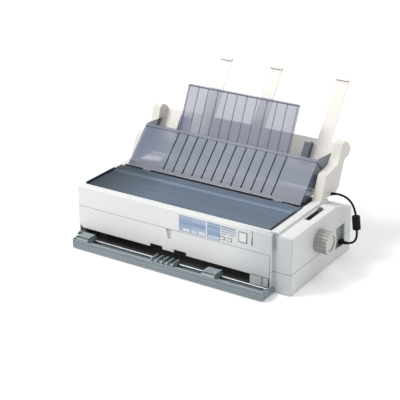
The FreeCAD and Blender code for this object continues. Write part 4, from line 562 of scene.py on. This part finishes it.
edgeWidth = {  # metres of rounding on the edges of each solid, where it isn't the common one
    "common": 0.0005, "upper_case": 0.0012, "lower_case": 0.0010, "front_cover": 0.0008, "hood": 0.0008,
    "platen_knob": 0.0006, "stacker": 0.0004, "panel_face": 0.0001, "timing_belt": 0.0002,
    "main_board": 0.0002, "power_inlet": 0.0002, "paper_pan": 0.0002,
}


def roundEdges(obj, width):
    weld = obj.modifiers.new("joinedTriangles", "WELD")
    weld.merge_threshold = 0.00001
    bevel = obj.modifiers.new("softEdges", "BEVEL")
    bevel.width = width
    bevel.segments = 2
    bevel.limit_method = "ANGLE"
    bevel.angle_limit = math.radians(32)
    bevel.miter_outer = "MITER_ARC"
    even = obj.modifiers.new("evenNormals", "WEIGHTED_NORMAL")  # large flat faces keep their flat look
    even.weight = 100


for name, finish in nodeFinish.items():
    obj = nodes[name]
    obj.data.materials.clear()
    obj.data.materials.append(finishes[finish])
    obj.data.polygons.foreach_set("use_smooth", [True] * len(obj.data.polygons))
    roundEdges(obj, edgeWidth.get(name, edgeWidth["common"]))
print("CAD nodes finished:", len(nodeFinish))


# Steps that the new pieces share.

def startEditing():
    bpy.ops.object.transform_apply(location=True, rotation=True, scale=True)
    bpy.ops.object.mode_set(mode="EDIT")
    bpy.ops.mesh.select_mode(type="FACE")
    bpy.ops.mesh.select_all(action="SELECT")


def endEditing(obj, rounding):
    bpy.ops.mesh.select_all(action="SELECT")
    bpy.ops.mesh.normals_make_consistent(inside=False)
    bpy.ops.object.mode_set(mode="OBJECT")
    bevel = obj.modifiers.new("softEdges", "BEVEL")
    bevel.width = rounding
    bevel.segments = 2
    bpy.ops.object.modifier_apply(modifier=bevel.name)


def endPiece(obj, body, finish, smoothAngle):
    bpy.ops.object.shade_smooth_by_angle(angle=math.radians(smoothAngle))
    obj.data.materials.clear()
    obj.data.materials.append(finishes[finish])
    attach(obj, body)


# The feeder's cable, from the right side frame over the block and down to its socket.
cable = dict(
    route=[(262, 265, 158), (279, 264.8, 162.2), (295.5, 265.5, 161.8), (310.5, 267, 156.5),
           (322.5, 268, 146), (330, 267.7, 132), (335, 267, 116.5), (340, 265.5, 81.5),
           (341.5, 265.2, 65), (337, 265.8, 50), (325.5, 267, 40.5), (312, 268, 38)],
    length=0.193, diameter=0.0055)


def makeCable():
    curve = bpy.data.curves.new("feederCable", "CURVE")
    curve.dimensions = "3D"
    curve.bevel_depth = cable["diameter"] / 2
    curve.bevel_resolution = 5
    curve.resolution_u = 10
    curve.use_fill_caps = True
    spline = curve.splines.new("NURBS")
    spline.points.add(len(cable["route"]) - 1)
    for point, place in zip(spline.points, cable["route"]):
        point.co = (*fromCase(*place), 1.0)
    spline.order_u = 3
    spline.use_endpoint_u = True
    obj = bpy.data.objects.new("feederCable", curve)
    bpy.context.scene.collection.objects.link(obj)
    obj.data.materials.append(finishes["blackRubber"])
    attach(obj, "case")
    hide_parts("feeder_cable")


makeCable()

# Ribbed sleeves where the cable leaves the side frame and the plug, in millimetres on the case.
sleeves = {
    "sleeveAtFrame": dict(start=(267.6, 265, 159.3), towards=(281.5, 264.9, 162.0), radii=(4.6, 3.3),
                          steps=6, groove=0.7),
    "sleeveAtPlug": dict(start=(311.6, 268, 38.0), towards=(321.0, 267.4, 39.5), radii=(3.9, 3.1),
                         steps=5, groove=0.5),
}
sleeveRounding = 0.0002


def makeSleeve(name, look):
    start = fromCase(*look["start"])
    run = fromCase(*look["towards"]) - start
    along = run.normalized()
    wide, narrow = look["radii"]
    bpy.ops.mesh.primitive_circle_add(vertices=20, radius=wide / 1000, fill_type="NGON",
                                      location=start, rotation=along.to_track_quat("Z", "Y").to_euler())
    obj = bpy.context.active_object
    obj.name = name
    startEditing()
    count = 2 * look["steps"]
    last = wide
    for index in range(count):
        radius = wide + (narrow - wide) * (index + 1) / count
        if index % 2 == 0:
            radius -= look["groove"]
        bpy.ops.mesh.extrude_region_move(TRANSFORM_OT_translate={"value": along * run.length / count})
        bpy.ops.transform.resize(value=(radius / last,) * 3)
        last = radius
    endEditing(obj, sleeveRounding)
    endPiece(obj, "case", "blackRubber", 40)


for name, look in sleeves.items():
    makeSleeve(name, look)
print("cable and sleeves made")

# Dark frames round the keys of the panel that stand for the painted shade of their recesses, in millimetres
# on the case.
surrounds = {
    "surroundLeft": dict(left=114.2, right=127.8, low=103.8, high=112.8, border=1.3),
    "surroundRight": dict(left=134.2, right=147.8, low=103.8, high=112.8, border=1.3),
    "surroundOnline": dict(left=165.4, right=188.6, low=109.8, high=136.6, border=1.6),
}
surroundPlace = -0.15  # millimetres along Y on the case, so just before its front
surroundThick = 0.0003
surroundRounding = 0.0001


def makeSurround(name, look):
    middle = fromCase((look["left"] + look["right"]) / 2, surroundPlace, (look["low"] + look["high"]) / 2)
    bpy.ops.mesh.primitive_plane_add(size=1, location=middle, rotation=(math.radians(90), 0, 0))
    obj = bpy.context.active_object
    obj.name = name
    obj.scale = ((look["right"] - look["left"]) / 1000, (look["high"] - look["low"]) / 1000, 1)
    startEditing()
    bpy.ops.mesh.inset(thickness=look["border"] / 1000)
    bpy.ops.mesh.delete(type="FACE")
    bpy.ops.mesh.select_all(action="SELECT")
    bpy.ops.mesh.extrude_region_move(TRANSFORM_OT_translate={"value": (0, -surroundThick, 0)})
    endEditing(obj, surroundRounding)
    # the frame is painted dark, as the painted shade in the key's recess
    endPiece(obj, "case", "paintedRecessShade", 30)


for name, look in surrounds.items():
    makeSurround(name, look)
print("surrounds made:", len(surrounds))

# The stage, with its lamps in metres and watts.
studio = dict(floorSize=14.0, floorTone=tone(244, 244, 245), glow=0.18, shadowReach=0.65,
              worldStrength=0.5, target=(0, 0, 0.1))
lamps = {
    "softKey": dict(place=(-1.5, -1.5, 2.7), size=1.2, energy=68.0),
    "softTop": dict(place=(0.3, 0.6, 2.9), size=2.0, energy=19.0),
    "softFill": dict(place=(2.4, -1.2, 1.6), size=3.0, energy=8.0),
}
white = (1, 1, 1, 1)


def makeFloor():
    bpy.ops.mesh.primitive_plane_add(size=studio["floorSize"], location=(0, 0, 0))
    floor = bpy.context.active_object
    floor.name = "paleFloor"
    tree, shader = newMaterial("paleFloor")
    shader.inputs["Base Color"].default_value = studio["floorTone"]
    shader.inputs["Roughness"].default_value = 0.9
    shader.inputs["Specular IOR Level"].default_value = 0.1
    shader.inputs["Emission Color"].default_value = white
    rays = tree.nodes.new("ShaderNodeLightPath").outputs
    seen = mathNode(tree, "MAXIMUM", rays["Is Camera Ray"],
                    mathNode(tree, "MAXIMUM", rays["Is Glossy Ray"], rays["Is Transmission Ray"]))
    away = tree.nodes.new("ShaderNodeVectorMath")
    away.operation = "LENGTH"
    tree.links.new(objectPlace(tree), away.inputs[0])
    # the far floor glows white, the near floor keeps the shadow
    farther = ramp(tree, away.outputs["Value"], studio["shadowReach"], 2 * studio["shadowReach"])
    glow = mathNode(tree, "MULTIPLY_ADD", farther, 2 * studio["glow"], studio["glow"])
    tree.links.new(product(tree, seen, glow), shader.inputs["Emission Strength"])
    floor.data.materials.append(finishes["paleFloor"])


def makeWorld():
    # lights the part evenly, and looks plain white
    world = bpy.data.worlds.new("studio")
    bpy.context.scene.world = world
    world.use_nodes = True
    tree = world.node_tree
    plain = tree.nodes["Background"]
    plain.inputs["Color"].default_value = white
    plain.inputs["Strength"].default_value = studio["worldStrength"]
    seenWhite = tree.nodes.new("ShaderNodeBackground")
    seenWhite.inputs["Color"].default_value = white
    seenWhite.inputs["Strength"].default_value = 1.0
    rays = tree.nodes.new("ShaderNodeLightPath").outputs
    blend = tree.nodes.new("ShaderNodeMixShader")
    tree.links.new(mathNode(tree, "MAXIMUM", rays["Is Camera Ray"], rays["Is Transmission Ray"]),
                   blend.inputs["Fac"])
    tree.links.new(plain.outputs[0], blend.inputs[1])
    tree.links.new(seenWhite.outputs[0], blend.inputs[2])
    tree.links.new(blend.outputs[0], tree.nodes["World Output"].inputs["Surface"])


def makeLamp(name, look):
    lamp = bpy.data.lights.new(name, "AREA")
    lamp.shape = "SQUARE"
    lamp.size = look["size"]
    lamp.energy = look["energy"]
    obj = bpy.data.objects.new(name, lamp)
    bpy.context.scene.collection.objects.link(obj)
    obj.location = look["place"]
    aim = Vector(studio["target"]) - Vector(look["place"])
    obj.rotation_euler = aim.to_track_quat("-Z", "Y").to_euler()


makeFloor()
makeWorld()
for name, look in lamps.items():
    makeLamp(name, look)

# The camera stands where the photograph was taken from.
view = dict(place=(1.4273, -2.37838, 1.28105), azimuth=32.5, elevation=22.95, lens=108.34, sensor=36.0)
lens = bpy.data.cameras.new("photoCamera")
lens.lens = view["lens"]
lens.sensor_width = view["sensor"]
camera = bpy.data.objects.new("photoCamera", lens)
bpy.context.scene.collection.objects.link(camera)
camera.location = view["place"]
camera.rotation_euler = (math.radians(90 - view["elevation"]), 0, math.radians(view["azimuth"]))
bpy.context.scene.camera = camera
bpy.context.scene.view_settings.view_transform = "Standard"
print("stage, lamps and camera made")
